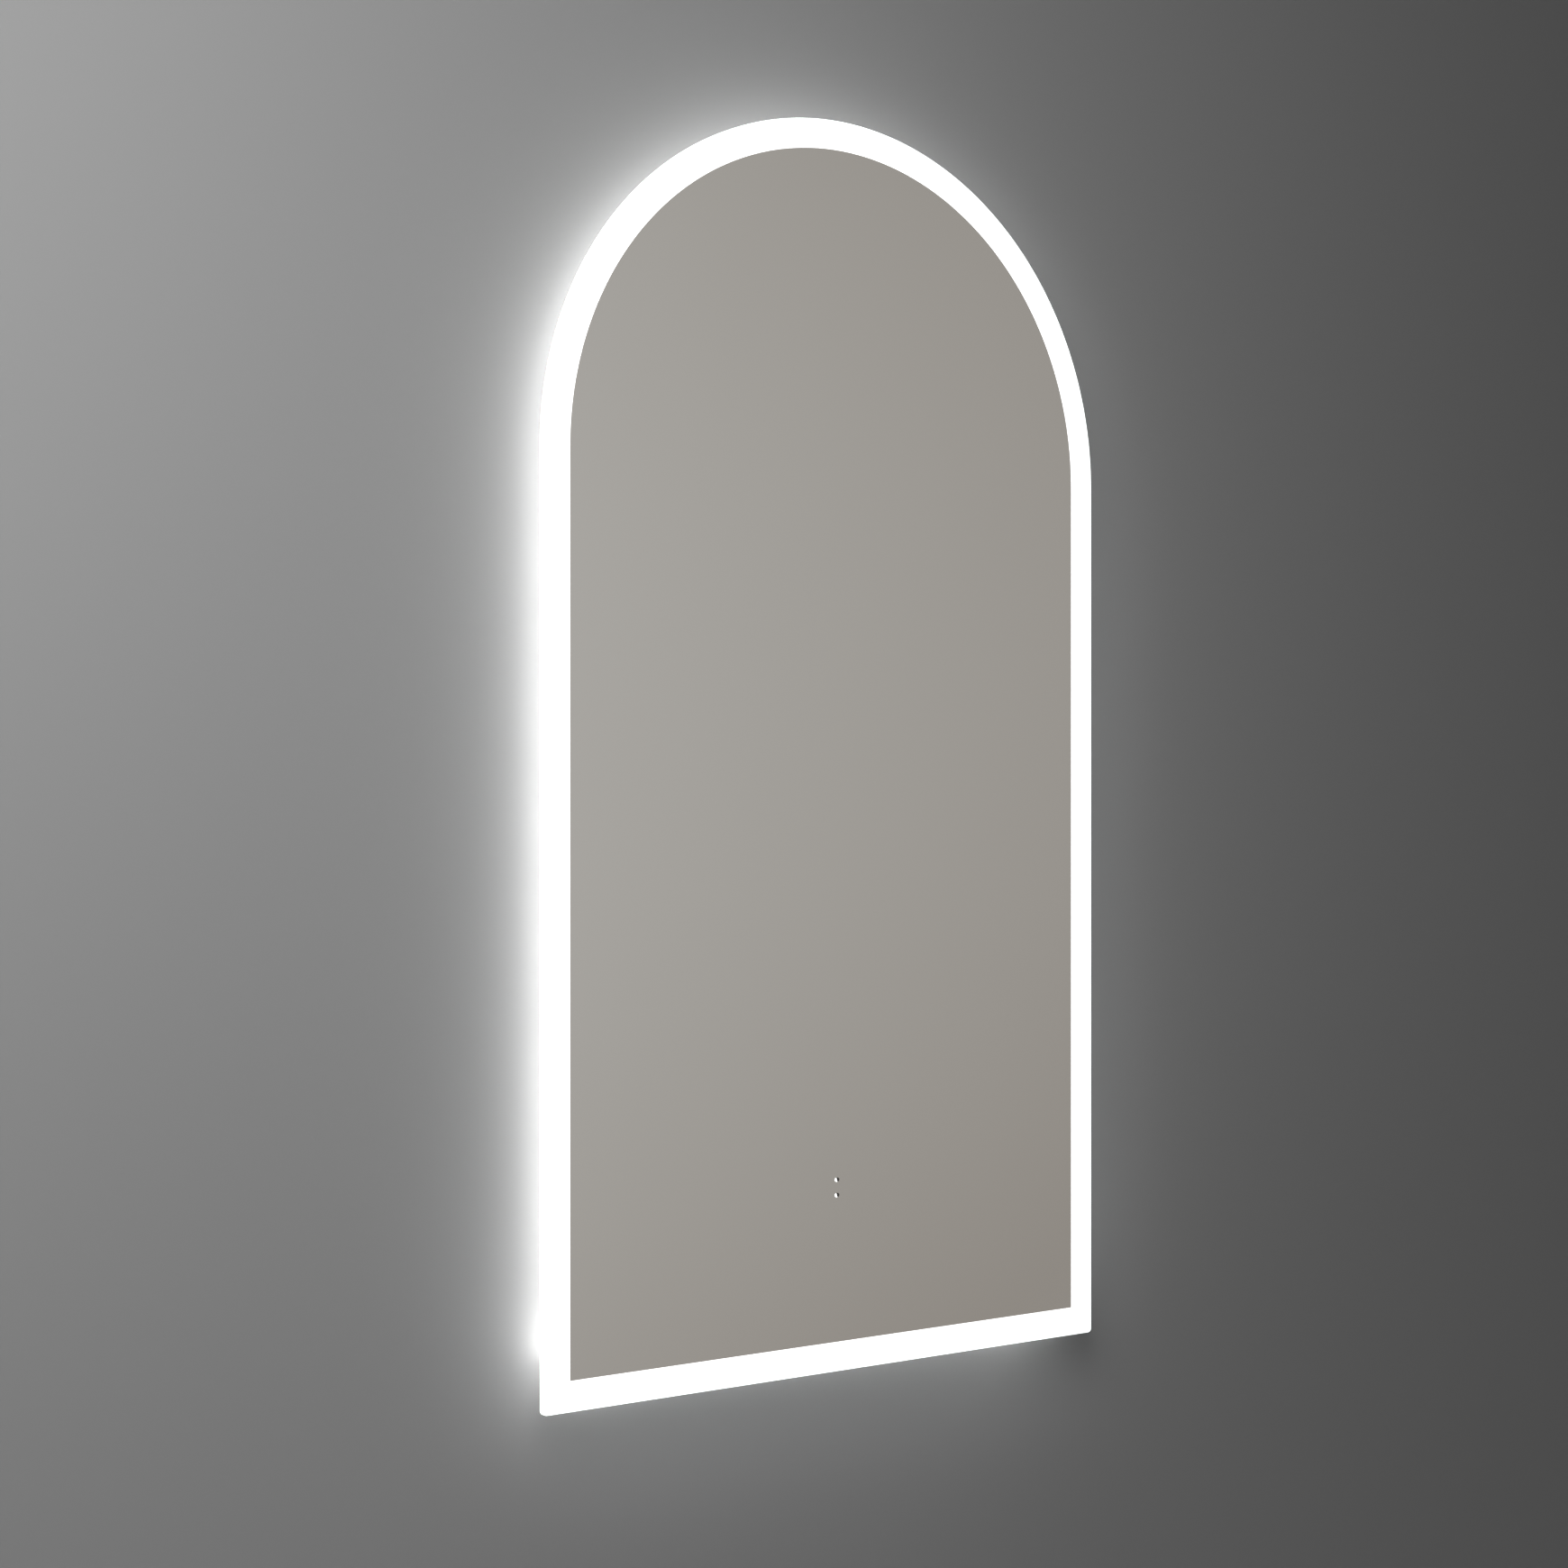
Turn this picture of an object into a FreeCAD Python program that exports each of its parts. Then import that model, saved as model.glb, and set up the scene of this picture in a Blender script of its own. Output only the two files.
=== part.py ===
import FreeCAD, Part
import Sketcher
import math
import os
import re

# Arched bathroom mirror with a lit frosted border and a halo round its edge, hung on a wall rail.
# Millimetres. X to the right seen from the room, Y into the wall, Z up.
# The origin is the middle of the rail's two screw slots, on the wall's face.

SIZES = {
    # glass
    "glass_width": 500.0,
    "glass_height": 900.0,
    "glass_thickness": 5.0,
    "edge_arris": 0.5,
    "corner_radius": 3.0,
    "border_width": 21.2,
    "spring_height": 40.0,
    "coating_thickness": 0.1,
    "film_thickness": 0.2,
    "film_margin": 1.0,
    "window_diameter": 5.0,
    "window_margin": 0.75,
    "window_pitch": 12.0,
    "window_height": 132.6,
    # aluminium frame
    "wall_gap": 2.7,
    "frame_inset": 28.0,
    "frame_width": 18.0,
    "frame_depth": 26.0,
    "frame_wall": 1.5,
    "channel_depth": 8.0,
    "lip_height": 0.8,
    "lip_thickness": 1.0,
    "tape_thickness": 1.0,
    "tape_margin": 2.0,
    "key_clearance": 0.2,
    "corner_key_reach": 32.0,
    "splice_reach": 15.0,
    "joint_screw_offset": 8.0,
    # screws
    "screw_diameter": 3.0,
    "screw_length": 6.0,
    "screw_head_diameter": 5.6,
    "screw_head_height": 1.8,
    "screw_head_round": 0.7,
    "screw_play": 0.2,
    "recess_span": 3.0,
    "recess_width": 0.7,
    "recess_depth": 1.0,
    # light
    "strip_width": 10.0,
    "strip_thickness": 0.3,
    "chip_pitch": 16.7,
    "chip_length": 3.5,
    "chip_width": 2.8,
    "chip_height": 0.8,
    "diffuser_thickness": 1.5,
    "diffuser_play": 0.15,
    # wall rail and the bars of the mirror
    "rail_length": 320.0,
    "rail_height": 26.0,
    "rail_thickness": 2.0,
    "rail_standoff": 10.0,
    "rail_lip": 14.0,
    "rail_edge_round": 0.5,
    "slot_spacing": 240.0,
    "slot_width": 5.5,
    "slot_length": 12.0,
    "bar_thickness": 2.0,
    "bar_face_depth": 14.0,
    "bar_skirt": 30.0,
    "hook_play": 0.5,
    "hook_overlap": 10.0,
    "tab_depth": 18.0,
    "tab_screw_pitch": 16.0,
    "tab_screw_offset": 4.5,
    "lower_bar_rise": 190.0,
    "lower_bar_height": 36.0,
    "lower_bar_return": 8.0,
    "bumper_diameter": 12.0,
    "bumper_round": 0.8,
    "bumper_rise": 80.0,
    "bumper_drop": 45.0,
    # driver box
    "box_drop": 190.0,
    "box_width": 236.0,
    "box_height": 72.0,
    "box_depth": 20.0,
    "box_wall": 2.2,
    "box_floor": 2.0,
    "box_corner": 5.0,
    "box_tape": 1.0,
    "box_tape_width": 30.0,
    "box_tape_height": 60.0,
    "terminal_room": 62.0,
    "rib_thickness": 2.0,
    "boss_diameter": 6.5,
    "boss_bite": 0.6,
    "boss_hole_depth": 8.0,
    "gasket_thickness": 1.0,
    "gasket_inset": 0.55,
    "gasket_rib_inset": 0.25,
    "cover_thickness": 2.0,
    "cover_gap": 0.4,
    "cover_round": 0.6,
    "panel_inset": 9.0,
    "panel_relief": 0.6,
    # hinged terminal cover
    "hinge_rise": 3.2,
    "hinge_knuckle": 6.0,
    "hinge_pin_diameter": 2.5,
    "hinge_play": 0.06,
    "barrel_length": 30.0,
    "barrel_gap": 0.3,
    "ear_width": 6.0,
    "ear_root": 4.0,
    "flap_gap": 0.5,
    "skirt_play": 0.4,
    "skirt_wall": 1.2,
    "skirt_depth": 2.0,
    "finger_tab_width": 20.0,
    "finger_tab_reach": 3.0,
    # driver and terminals
    "driver_end_room": 8.8,
    "driver_side_room": 10.8,
    "driver_thickness": 16.0,
    "driver_corner": 3.0,
    "driver_panel_relief": 0.4,
    "driver_panel_side": 12.0,
    "driver_panel_rim": 6.0,
    "block_width": 32.0,
    "block_height": 18.0,
    "block_thickness": 14.0,
    "block_step": 4.0,
    "block_saddle": 9.0,
    "block_groove": 1.0,
    "pole_pitch": 10.0,
    "pole_screw_diameter": 4.0,
    "pole_screw_length": 6.0,
    "pole_screw_sink": 1.0,
    "pole_slot_width": 0.8,
    "pole_slot_depth": 0.8,
    "entry_depth": 5.0,
    "entry_play": 0.2,
    "entry_stop": 1.0,
    # cable gland
    "gland_thread": 12.0,
    "gland_play": 0.15,
    "gland_flats": 15.0,
    "gland_hex_height": 5.0,
    "gland_thread_end": 1.0,
    "gland_cap_height": 12.0,
    "gland_cap_diameter": 14.4,
    "gland_cap_round": 2.5,
    "locknut_height": 3.0,
    "seal_bore": 6.4,
    "seal_diameter": 9.6,
    "seal_length": 9.0,
    # leads
    "lead_diameter": 3.2,
    "lead_rise": 5.0,
    "grommet_hole": 6.4,
    "grommet_flange": 8.8,
    "grommet_play": 0.05,
    "grommet_flange_thickness": 1.0,
    "clip_length": 7.0,
    "clip_base_width": 12.0,
    "clip_base_thickness": 1.2,
    "clip_wall": 1.1,
    "clip_play": 0.1,
    "clip_neck": 2.4,
    "led_lead_rise": 12.0,
    "led_lead_drop": 25.0,
    "led_bend_before": 6.0,
    "led_bend_after": 14.0,
    "sensor_lead_stop": 3.0,
    "demister_bend": 14.0,
    "earth_bend_below": 34.0,
    "earth_bend_above": 46.0,
    "earth_rise": 84.0,
    "side_clip_reach": 11.0,
    "sensor_clip_rise": 14.0,
    "connector_length": 12.0,
    "connector_width": 5.0,
    "connector_height": 2.5,
    "ring_eye": 7.0,
    "ring_thickness": 0.8,
    "ring_barrel_length": 7.0,
    "ring_barrel_diameter": 4.2,
    # demister
    "demister_width": 280.0,
    "demister_height": 260.0,
    "demister_thickness": 0.4,
    "demister_rise": 20.0,
    "demister_corner": 8.0,
    "patch_width": 30.0,
    "patch_height": 18.0,
    "patch_corner": 2.0,
    "patch_cap": 1.4,
    "patch_rise": 3.0,
    # touch sensor
    "sensor_width": 44.0,
    "sensor_height": 34.0,
    "sensor_depth": 10.0,
    "sensor_wall": 1.5,
    "sensor_corner": 3.0,
    "board_play": 0.3,
    "board_thickness": 1.6,
    "lens_diameter": 3.4,
    "lens_sink": 1.7,
    "lens_length": 1.6,
}

# Distances in front of the wall of the faces that the pieces sit on.
FRAME_BACK = "wall_gap"
FRAME_MIDDLE = "(wall_gap + frame_depth / 2)"
FRAME_FRONT = "(wall_gap + frame_depth)"
FILM_BACK = f"({FRAME_FRONT} + tape_thickness)"
COATING_BACK = f"({FILM_BACK} + film_thickness)"
GLASS_BACK = f"({COATING_BACK} + coating_thickness)"
BOX_FLOOR_FRONT = f"({FILM_BACK} - box_tape)"
BOX_RIM = f"({BOX_FLOOR_FRONT} - box_depth)"
BOX_FLOOR = f"({BOX_FLOOR_FRONT} - box_floor)"
LEAD_DEPTH = f"({FILM_BACK} - lead_rise - lead_diameter / 2)"
SENSOR_BACK = f"({FILM_BACK} - sensor_depth)"
LENS_TIP = f"({GLASS_BACK} - lens_sink)"
BOARD_FRONT = f"({LENS_TIP} - lens_length)"

# Insets from the edge of the glass, all round.
WEB_OUTER = "(frame_inset + channel_depth)"
WEB_INNER = f"({WEB_OUTER} + frame_wall)"
FRAME_INNER = "(frame_inset + frame_width)"
CHAMBER_INNER = f"({FRAME_INNER} - frame_wall)"
CHAMBER_MIDDLE = f"(({WEB_INNER} + {CHAMBER_INNER}) / 2)"
DIFFUSER_OUTER = "(frame_inset + lip_thickness + diffuser_play)"
DIFFUSER_INNER = f"({DIFFUSER_OUTER} + diffuser_thickness)"

# Heights.
GLASS_BOTTOM = "(spring_height + glass_width / 2 - glass_height)"
SENSOR_HEIGHT = f"({GLASS_BOTTOM} + window_height)"
LOWER_BAR = f"({GLASS_BOTTOM} + lower_bar_rise)"
LIP_TOP = "(rail_height / 2 + rail_lip)"
BAR_TOP = f"({LOWER_BAR} + lower_bar_height / 2)"
BOX_FOOT = "(-box_drop - box_height / 2)"
BAR_MIDDLE = f"({LIP_TOP} + bar_thickness - bar_skirt / 2)"
TAB_SCREW_DEPTH = "(bar_face_depth + tab_screw_offset)"
LED_LEAD_OUT = "(led_lead_rise - box_drop)"
LED_LEAD_IN = "(-box_drop - led_lead_drop)"
EARTH_HEIGHT = "(-box_drop + box_height / 2 + earth_rise)"

# Places across the driver box.
RIB = "(box_width / 2 - box_wall - terminal_room - rib_thickness / 2)"
ROOM_LEFT = "(box_wall - box_width / 2)"
ROOM_RIGHT = f"({RIB} - rib_thickness / 2)"
DRIVER_MIDDLE = f"(({ROOM_LEFT} + {ROOM_RIGHT}) / 2)"
ROOM_TOP = "(box_height / 2 - box_wall)"
DRIVER_SIDE = f"(({ROOM_RIGHT} - {ROOM_LEFT}) / 2 - driver_end_room)"
DRIVER_RIM = f"({ROOM_TOP} - driver_side_room)"
TERMINAL_LEFT = f"({RIB} + rib_thickness / 2)"
TERMINAL_RIGHT = "(box_width / 2 - box_wall)"
TERMINAL_MIDDLE = f"(({TERMINAL_LEFT} + {TERMINAL_RIGHT}) / 2)"
BOX_LEAD = f"({BOX_RIM} - {LEAD_DEPTH})"
PIVOT_DEPTH = "(gasket_thickness + cover_thickness / 2)"
PIVOT_HEIGHT = "(box_height / 2 + hinge_rise)"
BLOCK_TOP = "(block_height / 2)"
EARTH_PLACE = "(ring_thickness + lead_diameter / 2)"
PATCH_LOW = "(demister_rise - demister_height / 2 + patch_rise)"
PATCH_MIDDLE = f"({TERMINAL_MIDDLE} - 2 * pole_pitch)"
COVER_BACK = "-(gasket_thickness + cover_thickness)"

# Holes.
SCREW_HOLE = "(screw_diameter + 2 * screw_play)"
LEAD_HOLE = "(lead_diameter + entry_play)"

# Share of a lead's run that each bend may take, and the distance under which two places are the same.
BEND_SHARE = 0.45
SAME_PLACE = 0.001

# Shares of the way from the driver box down to the lower bar where the sensor's lead bends, and of its
# last straight stretch above the bar where a clip holds it.
FIRST_BEND = 0.41
SECOND_BEND = 0.695
BAR_CLIP = 0.41

doc = FreeCAD.newDocument("lighted_mirror")
sheet = doc.addObject("Spreadsheet::Sheet", "Sizes")
for row, (alias, number) in enumerate(SIZES.items(), start=1):
    sheet.set(f"A{row}", alias.replace("_", " "))
    sheet.set(f"B{row}", str(number))
    sheet.setAlias(f"B{row}", alias)
doc.recompute()

sub_parts = []


def bind(expression):
    """The expression with every named size read from the sheet."""
    return re.sub(r"[a-z_]+", lambda word: f"Sizes.{word[0]}" if word[0] in SIZES else word[0], expression)


def value(expression):
    """The expression's present value in millimetres."""
    return float(sheet.evalExpression(bind(expression)))


def half(inset):
    """Half the width of the mirror, less an inset."""
    return f"(glass_width / 2 - {inset})"


def up(inset):
    """Height of the mirror's lower edge, plus an inset."""
    return f"({GLASS_BOTTOM} + {inset})"


def pair(height):
    """Heights of the two screws of a bar's end tab."""
    return [f"{height} {shift} tab_screw_pitch / 2" for shift in ("+", "-")]


# Sub-parts and their features


def new_body(label, x="0", depth="0", z="0"):
    """A sub-part whose own XZ plane stands at a distance in front of the wall."""
    body = doc.addObject("PartDesign::Body", label)
    body.Label = label
    for axis, place in (("x", x), ("y", f"-({depth})"), ("z", z)):
        body.setExpression(f"Placement.Base.{axis}", bind(place))
    sub_parts.append(body)
    return body


def own(body, role):
    """One of the axes or planes of a body's own origin."""
    return next(item for item in body.Origin.OriginFeatures if item.Role == role)


def new_sketch(body, plane, start, outlines):
    """A sketch on one of the body's own planes, moved forward along its normal, with its outlines."""
    sketch = body.newObject("Sketcher::SketchObject", f"{body.Label}_outline")
    sketch.AttachmentSupport = (own(body, plane), [""])
    sketch.MapMode = "FlatFace"
    sketch.setExpression("AttachmentOffset.Base.z", bind(start))
    for draw in outlines:
        draw(sketch)
    return sketch


def pad(body, length, *outlines, plane="XZ_Plane", start="0", symmetric=False):
    """Grow outlines along the plane's normal: towards the room, to the right or up."""
    feature = body.newObject("PartDesign::Pad", f"{body.Label}_pad")
    feature.Profile = new_sketch(body, plane, start, outlines)
    feature.setExpression("Length", bind(length))
    feature.Midplane = symmetric
    feature.Profile[0].Visibility = False
    return feature


def cut(body, length, *outlines, plane="XZ_Plane", start="0"):
    """Cut outlines into the body along the plane's normal, or right through it both ways."""
    feature = body.newObject("PartDesign::Pocket", f"{body.Label}_cut")
    feature.Profile = new_sketch(body, plane, start, outlines)
    if length == "through":
        feature.Type = "ThroughAll"
        feature.Midplane = True
    else:
        feature.setExpression("Length", bind(length))
        feature.Reversed = True
    return feature


def half_turn(body, *outlines):
    """Turn outlines on the body's own XY plane half a turn about its Y axis."""
    feature = body.newObject("PartDesign::Revolution", f"{body.Label}_turn")
    sketch = new_sketch(body, "XY_Plane", "0", outlines)
    feature.Profile = sketch
    feature.ReferenceAxis = (sketch, ["V_Axis"])
    feature.Angle = 180


def row(body, feature, axis, spacing, count):
    """Repeat one feature in a row along one of the body's own axes."""
    copies = body.newObject("PartDesign::LinearPattern", f"{body.Label}_row")
    copies.Originals = [feature]
    copies.Direction = (own(body, axis), [""])
    copies.setExpression("Length", bind(f"{spacing} * ({count} - 1)"))
    copies.setExpression("Occurrences", bind(count))
    body.Tip = copies


def half_ring(body, feature, count):
    """Repeat one feature in half a ring about the body's own Y axis."""
    copies = body.newObject("PartDesign::PolarPattern", f"{body.Label}_ring")
    copies.Originals = [feature]
    copies.Axis = (own(body, "Y_Axis"), [""])
    copies.setExpression("Angle", f"180 - 180 / {bind(count)}")
    copies.setExpression("Occurrences", bind(count))
    body.Tip = copies


def mirror(body, *features):
    """Repeat features on the other side of the body's own YZ plane."""
    copy = body.newObject("PartDesign::Mirrored", f"{body.Label}_mirrored")
    copy.Originals = list(features)
    copy.MirrorPlane = (own(body, "YZ_Plane"), [""])
    body.Tip = copy


def dress(body, kind, size, chosen):
    """Round or bevel the edges of the body so far that the test picks."""
    doc.recompute()
    base = body.Tip
    names = [f"Edge{number}" for number, edge in enumerate(base.Shape.Edges, start=1) if chosen(edge)]
    feature = body.newObject(f"PartDesign::{kind}", f"{body.Label}_{kind.lower()}")
    feature.Base = (base, names)
    feature.setExpression("Radius" if kind == "Fillet" else "Size", bind(size))
    return feature


def runs_along(edge, axis):
    """Whether an edge is straight and runs along an axis."""
    box = edge.BoundBox
    spans = {"x": box.XLength, "y": box.YLength, "z": box.ZLength}
    return spans.pop(axis) > SAME_PLACE and max(spans.values()) < SAME_PLACE


def lies_at(edge, place):
    """Whether an edge lies in the plane at one place along the body's own Y axis."""
    box = edge.BoundBox
    return box.YLength < SAME_PLACE and abs(box.YMin - place) < SAME_PLACE


# Outlines


def pin(sketch, item, point, x, y):
    """Hold one point of a sketch by its two distances from the origin."""
    for kind, place in (("DistanceX", x), ("DistanceY", y)):
        hold = Sketcher.Constraint(kind, -1, 1, item, point, value(place))
        index = sketch.addConstraint(hold)
        sketch.setExpression(f"Constraints[{index}]", bind(place))


def measure(sketch, kind, item, size):
    """Hold the radius or diameter of one item of a sketch."""
    index = sketch.addConstraint(Sketcher.Constraint(kind, item, value(size)))
    sketch.setExpression(f"Constraints[{index}]", bind(size))


def polygon(corners):
    """Closed outline of straight lines."""

    def draw(sketch):
        spots = [FreeCAD.Vector(value(x), value(y), 0) for x, y in corners]
        lines = [
            sketch.addGeometry(Part.LineSegment(here, there), False)
            for here, there in zip(spots, spots[1:] + spots[:1])
        ]
        for line, before, (x, y) in zip(lines, lines[-1:] + lines[:-1], corners):
            sketch.addConstraint(Sketcher.Constraint("Coincident", line, 1, before, 2))
            pin(sketch, line, 1, x, y)

    return draw


def rectangle(left, bottom, right, top):
    """Closed rectangle between four distances from the origin."""
    return polygon([(left, bottom), (right, bottom), (right, top), (left, top)])


def block(x, y, width, height):
    """Rectangle about a middle point."""
    return rectangle(
        f"{x} - {width} / 2", f"{y} - {height} / 2", f"{x} + {width} / 2", f"{y} + {height} / 2"
    )


def circle(x, y, diameter):
    """Circle held by its middle and diameter."""

    def draw(sketch):
        middle = FreeCAD.Vector(value(x), value(y), 0)
        item = sketch.addGeometry(Part.Circle(middle, FreeCAD.Vector(0, 0, 1), value(diameter) / 2), False)
        pin(sketch, item, 3, x, y)
        measure(sketch, "Diameter", item, diameter)

    return draw


def hexagon(x, y, flats):
    """Hexagon about a middle point, with two of its flats level."""
    side = f"{flats} / 2"
    point = f"{flats} / sqrt(3)"
    return polygon(
        [
            (f"{x} + {point} / 2", f"{y} - {side}"),
            (f"{x} + {point}", y),
            (f"{x} + {point} / 2", f"{y} + {side}"),
            (f"{x} - {point} / 2", f"{y} + {side}"),
            (f"{x} - {point}", y),
            (f"{x} - {point} / 2", f"{y} - {side}"),
        ]
    )


def cross(x, y, span, width):
    """Cross with two equal arms about a middle point."""
    arm = f"{span} / 2"
    flank = f"{width} / 2"
    quarter = [(arm, f"-{flank}"), (arm, flank), (flank, flank), (flank, arm)]
    corners = []
    for turned in range(4):
        for across, along in quarter:
            for _ in range(turned):
                across, along = f"-({along})", across
            corners.append((f"{x} + ({across})", f"{y} + ({along})"))
    distinct = [spot for number, spot in enumerate(corners) if number % 4 != 3]
    return polygon(distinct)


def rounded(left, bottom, right, top, radius):
    """Rectangle with four equal round corners."""

    def draw(sketch):
        x0, y0, x1, y1, r = (value(size) for size in (left, bottom, right, top, radius))
        ends = [
            ((x0 + r, y0), (x1 - r, y0)),
            ((x1, y0 + r), (x1, y1 - r)),
            ((x1 - r, y1), (x0 + r, y1)),
            ((x0, y1 - r), (x0, y0 + r)),
        ]
        lines = [
            sketch.addGeometry(Part.LineSegment(FreeCAD.Vector(*here), FreeCAD.Vector(*there)), False)
            for here, there in ends
        ]
        middles = [(x1 - r, y0 + r), (x1 - r, y1 - r), (x0 + r, y1 - r), (x0 + r, y0 + r)]
        arcs = []
        for quarter, (x, y) in enumerate(middles):
            whole = Part.Circle(FreeCAD.Vector(x, y, 0), FreeCAD.Vector(0, 0, 1), r)
            begin = (quarter - 1) * math.pi / 2
            arcs.append(sketch.addGeometry(Part.ArcOfCircle(whole, begin, begin + math.pi / 2), False))
        for corner, arc in enumerate(arcs):
            sketch.addConstraint(Sketcher.Constraint("Tangent", lines[corner], 2, arc, 1))
            sketch.addConstraint(Sketcher.Constraint("Tangent", arc, 2, lines[(corner + 1) % 4], 1))
            if corner:
                sketch.addConstraint(Sketcher.Constraint("Equal", arcs[0], arc))
        for line, level in zip(lines, ("Horizontal", "Vertical", "Horizontal", "Vertical")):
            sketch.addConstraint(Sketcher.Constraint(level, line))
        for line, kind, place in (
            (lines[0], "DistanceY", bottom),
            (lines[1], "DistanceX", right),
            (lines[2], "DistanceY", top),
            (lines[3], "DistanceX", left),
        ):
            index = sketch.addConstraint(Sketcher.Constraint(kind, -1, 1, line, 1, value(place)))
            sketch.setExpression(f"Constraints[{index}]", bind(place))
        measure(sketch, "Radius", arcs[0], radius)

    return draw


def slot(x, y, length, width):
    """Level slot with round ends about a middle point."""

    def draw(sketch):
        run = f"({length} - {width}) / 2"
        arcs = []
        for sign, begin in (("+", -math.pi / 2), ("-", math.pi / 2)):
            middle = f"{x} {sign} {run}"
            spot = FreeCAD.Vector(value(middle), value(y), 0)
            whole = Part.Circle(spot, FreeCAD.Vector(0, 0, 1), value(width) / 2)
            arc = sketch.addGeometry(Part.ArcOfCircle(whole, begin, begin + math.pi), False)
            pin(sketch, arc, 3, middle, y)
            measure(sketch, "Radius", arc, f"{width} / 2")
            for end in (1, 2):
                sketch.addConstraint(Sketcher.Constraint("Vertical", arc, 3, arc, end))
            arcs.append(arc)
        for here, there in (arcs, arcs[::-1]):
            ends = [sketch.getPoint(here, 2), sketch.getPoint(there, 1)]
            line = sketch.addGeometry(Part.LineSegment(*ends), False)
            sketch.addConstraint(Sketcher.Constraint("Coincident", line, 1, here, 2))
            sketch.addConstraint(Sketcher.Constraint("Coincident", line, 2, there, 1))

    return draw


def arch(inset):
    """The mirror's outline at an inset: two upright sides, a level base and a half circle on top."""
    right = half(inset)
    left = f"-{right}"
    base = up(inset)

    def draw(sketch):
        corners = [(left, "spring_height"), (left, base), (right, base), (right, "spring_height")]
        spots = [FreeCAD.Vector(value(x), value(z), 0) for x, z in corners]
        lines = [
            sketch.addGeometry(Part.LineSegment(here, there), False)
            for here, there in zip(spots, spots[1:])
        ]
        middle = FreeCAD.Vector(0, value("spring_height"), 0)
        whole = Part.Circle(middle, FreeCAD.Vector(0, 0, 1), value(right))
        top = sketch.addGeometry(Part.ArcOfCircle(whole, 0, math.pi), False)
        for before, after in zip(lines, lines[1:]):
            sketch.addConstraint(Sketcher.Constraint("Coincident", before, 2, after, 1))
        sketch.addConstraint(Sketcher.Constraint("Coincident", lines[2], 2, top, 1))
        sketch.addConstraint(Sketcher.Constraint("Coincident", lines[0], 1, top, 2))
        for line, (x, z) in zip(lines, corners):
            pin(sketch, line, 1, x, z)
        pin(sketch, lines[2], 2, right, "spring_height")
        hold = Sketcher.Constraint("DistanceY", -1, 1, top, 3, value("spring_height"))
        index = sketch.addConstraint(hold)
        sketch.setExpression(f"Constraints[{index}]", bind("spring_height"))

    return draw


# Pieces made more than once


def plate(label, depth, thickness, *outlines, x="0", z="0"):
    """A flat sub-part with its back face at a distance in front of the wall."""
    body = new_body(label, x, depth, z)
    pad(body, thickness, *outlines)
    return body


def perimeter(label, outer, inner, loops):
    """One section carried round the mirror in four lengths, mitred at the two lower corners."""
    bow = new_body(f"{label}_arch", depth=FRAME_MIDDLE, z="spring_height")
    half_turn(bow, *[polygon([(f"-{half(inset)}", depth) for inset, depth in loop]) for loop in loops])
    lengths = [bow]
    for side, sign in (("left", "-"), ("right", "")):
        leg = new_body(f"{label}_{side}", depth=FRAME_MIDDLE)
        section = [polygon([(f"{sign}{half(inset)}", depth) for inset, depth in loop]) for loop in loops]
        pad(leg, f"spring_height - {up(outer)}", *section, plane="XY_Plane", start=up(outer))
        foot = [
            (f"{sign}{half(outer)}", up(outer)),
            (f"{sign}{half(inner)}", up(outer)),
            (f"{sign}{half(inner)}", up(inner)),
        ]
        cut(leg, "through", polygon(foot))
        lengths.append(leg)
    base = new_body(f"{label}_bottom", depth=FRAME_MIDDLE)
    section = [polygon([(depth, up(inset)) for inset, depth in loop]) for loop in loops]
    pad(base, f"2 * {half(outer)}", *section, plane="YZ_Plane", symmetric=True)
    for sign in ("-", ""):
        end = [
            (f"{sign}{half(outer)}", up(outer)),
            (f"{sign}{half(outer)}", up(inner)),
            (f"{sign}{half(inner)}", up(inner)),
        ]
        cut(base, "through", polygon(end))
    lengths.append(base)
    return lengths


def pan_screws(label, seat, places):
    """Cross-recess screws driven towards the room, their heads on a seat in front of the wall."""
    body = new_body(label, depth=seat)
    pad(body, "screw_head_height", *[circle(x, z, "screw_head_diameter") for x, z in places],
        start="-screw_head_height")
    top = value("screw_head_height")
    dress(body, "Fillet", "screw_head_round", lambda edge: lies_at(edge, top))
    pad(body, "screw_length", *[circle(x, z, "screw_diameter") for x, z in places])
    cut(body, "recess_depth", *[cross(x, z, "recess_span", "recess_width") for x, z in places],
        start="-screw_head_height")
    return body


def grommet(body, plane, x, y, face, wall, outward):
    """Rubber sleeve through a wall that starts at a face, with a flange on its outer side."""
    flange = f"{face} + {wall}" if outward == "+" else f"{face} - grommet_flange_thickness"
    bore = circle(x, y, "(lead_diameter + 2 * grommet_play)")
    pad(body, wall, circle(x, y, "grommet_hole"), bore, plane=plane, start=face)
    pad(body, "grommet_flange_thickness", circle(x, y, "grommet_flange"), bore, plane=plane, start=flange)


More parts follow.
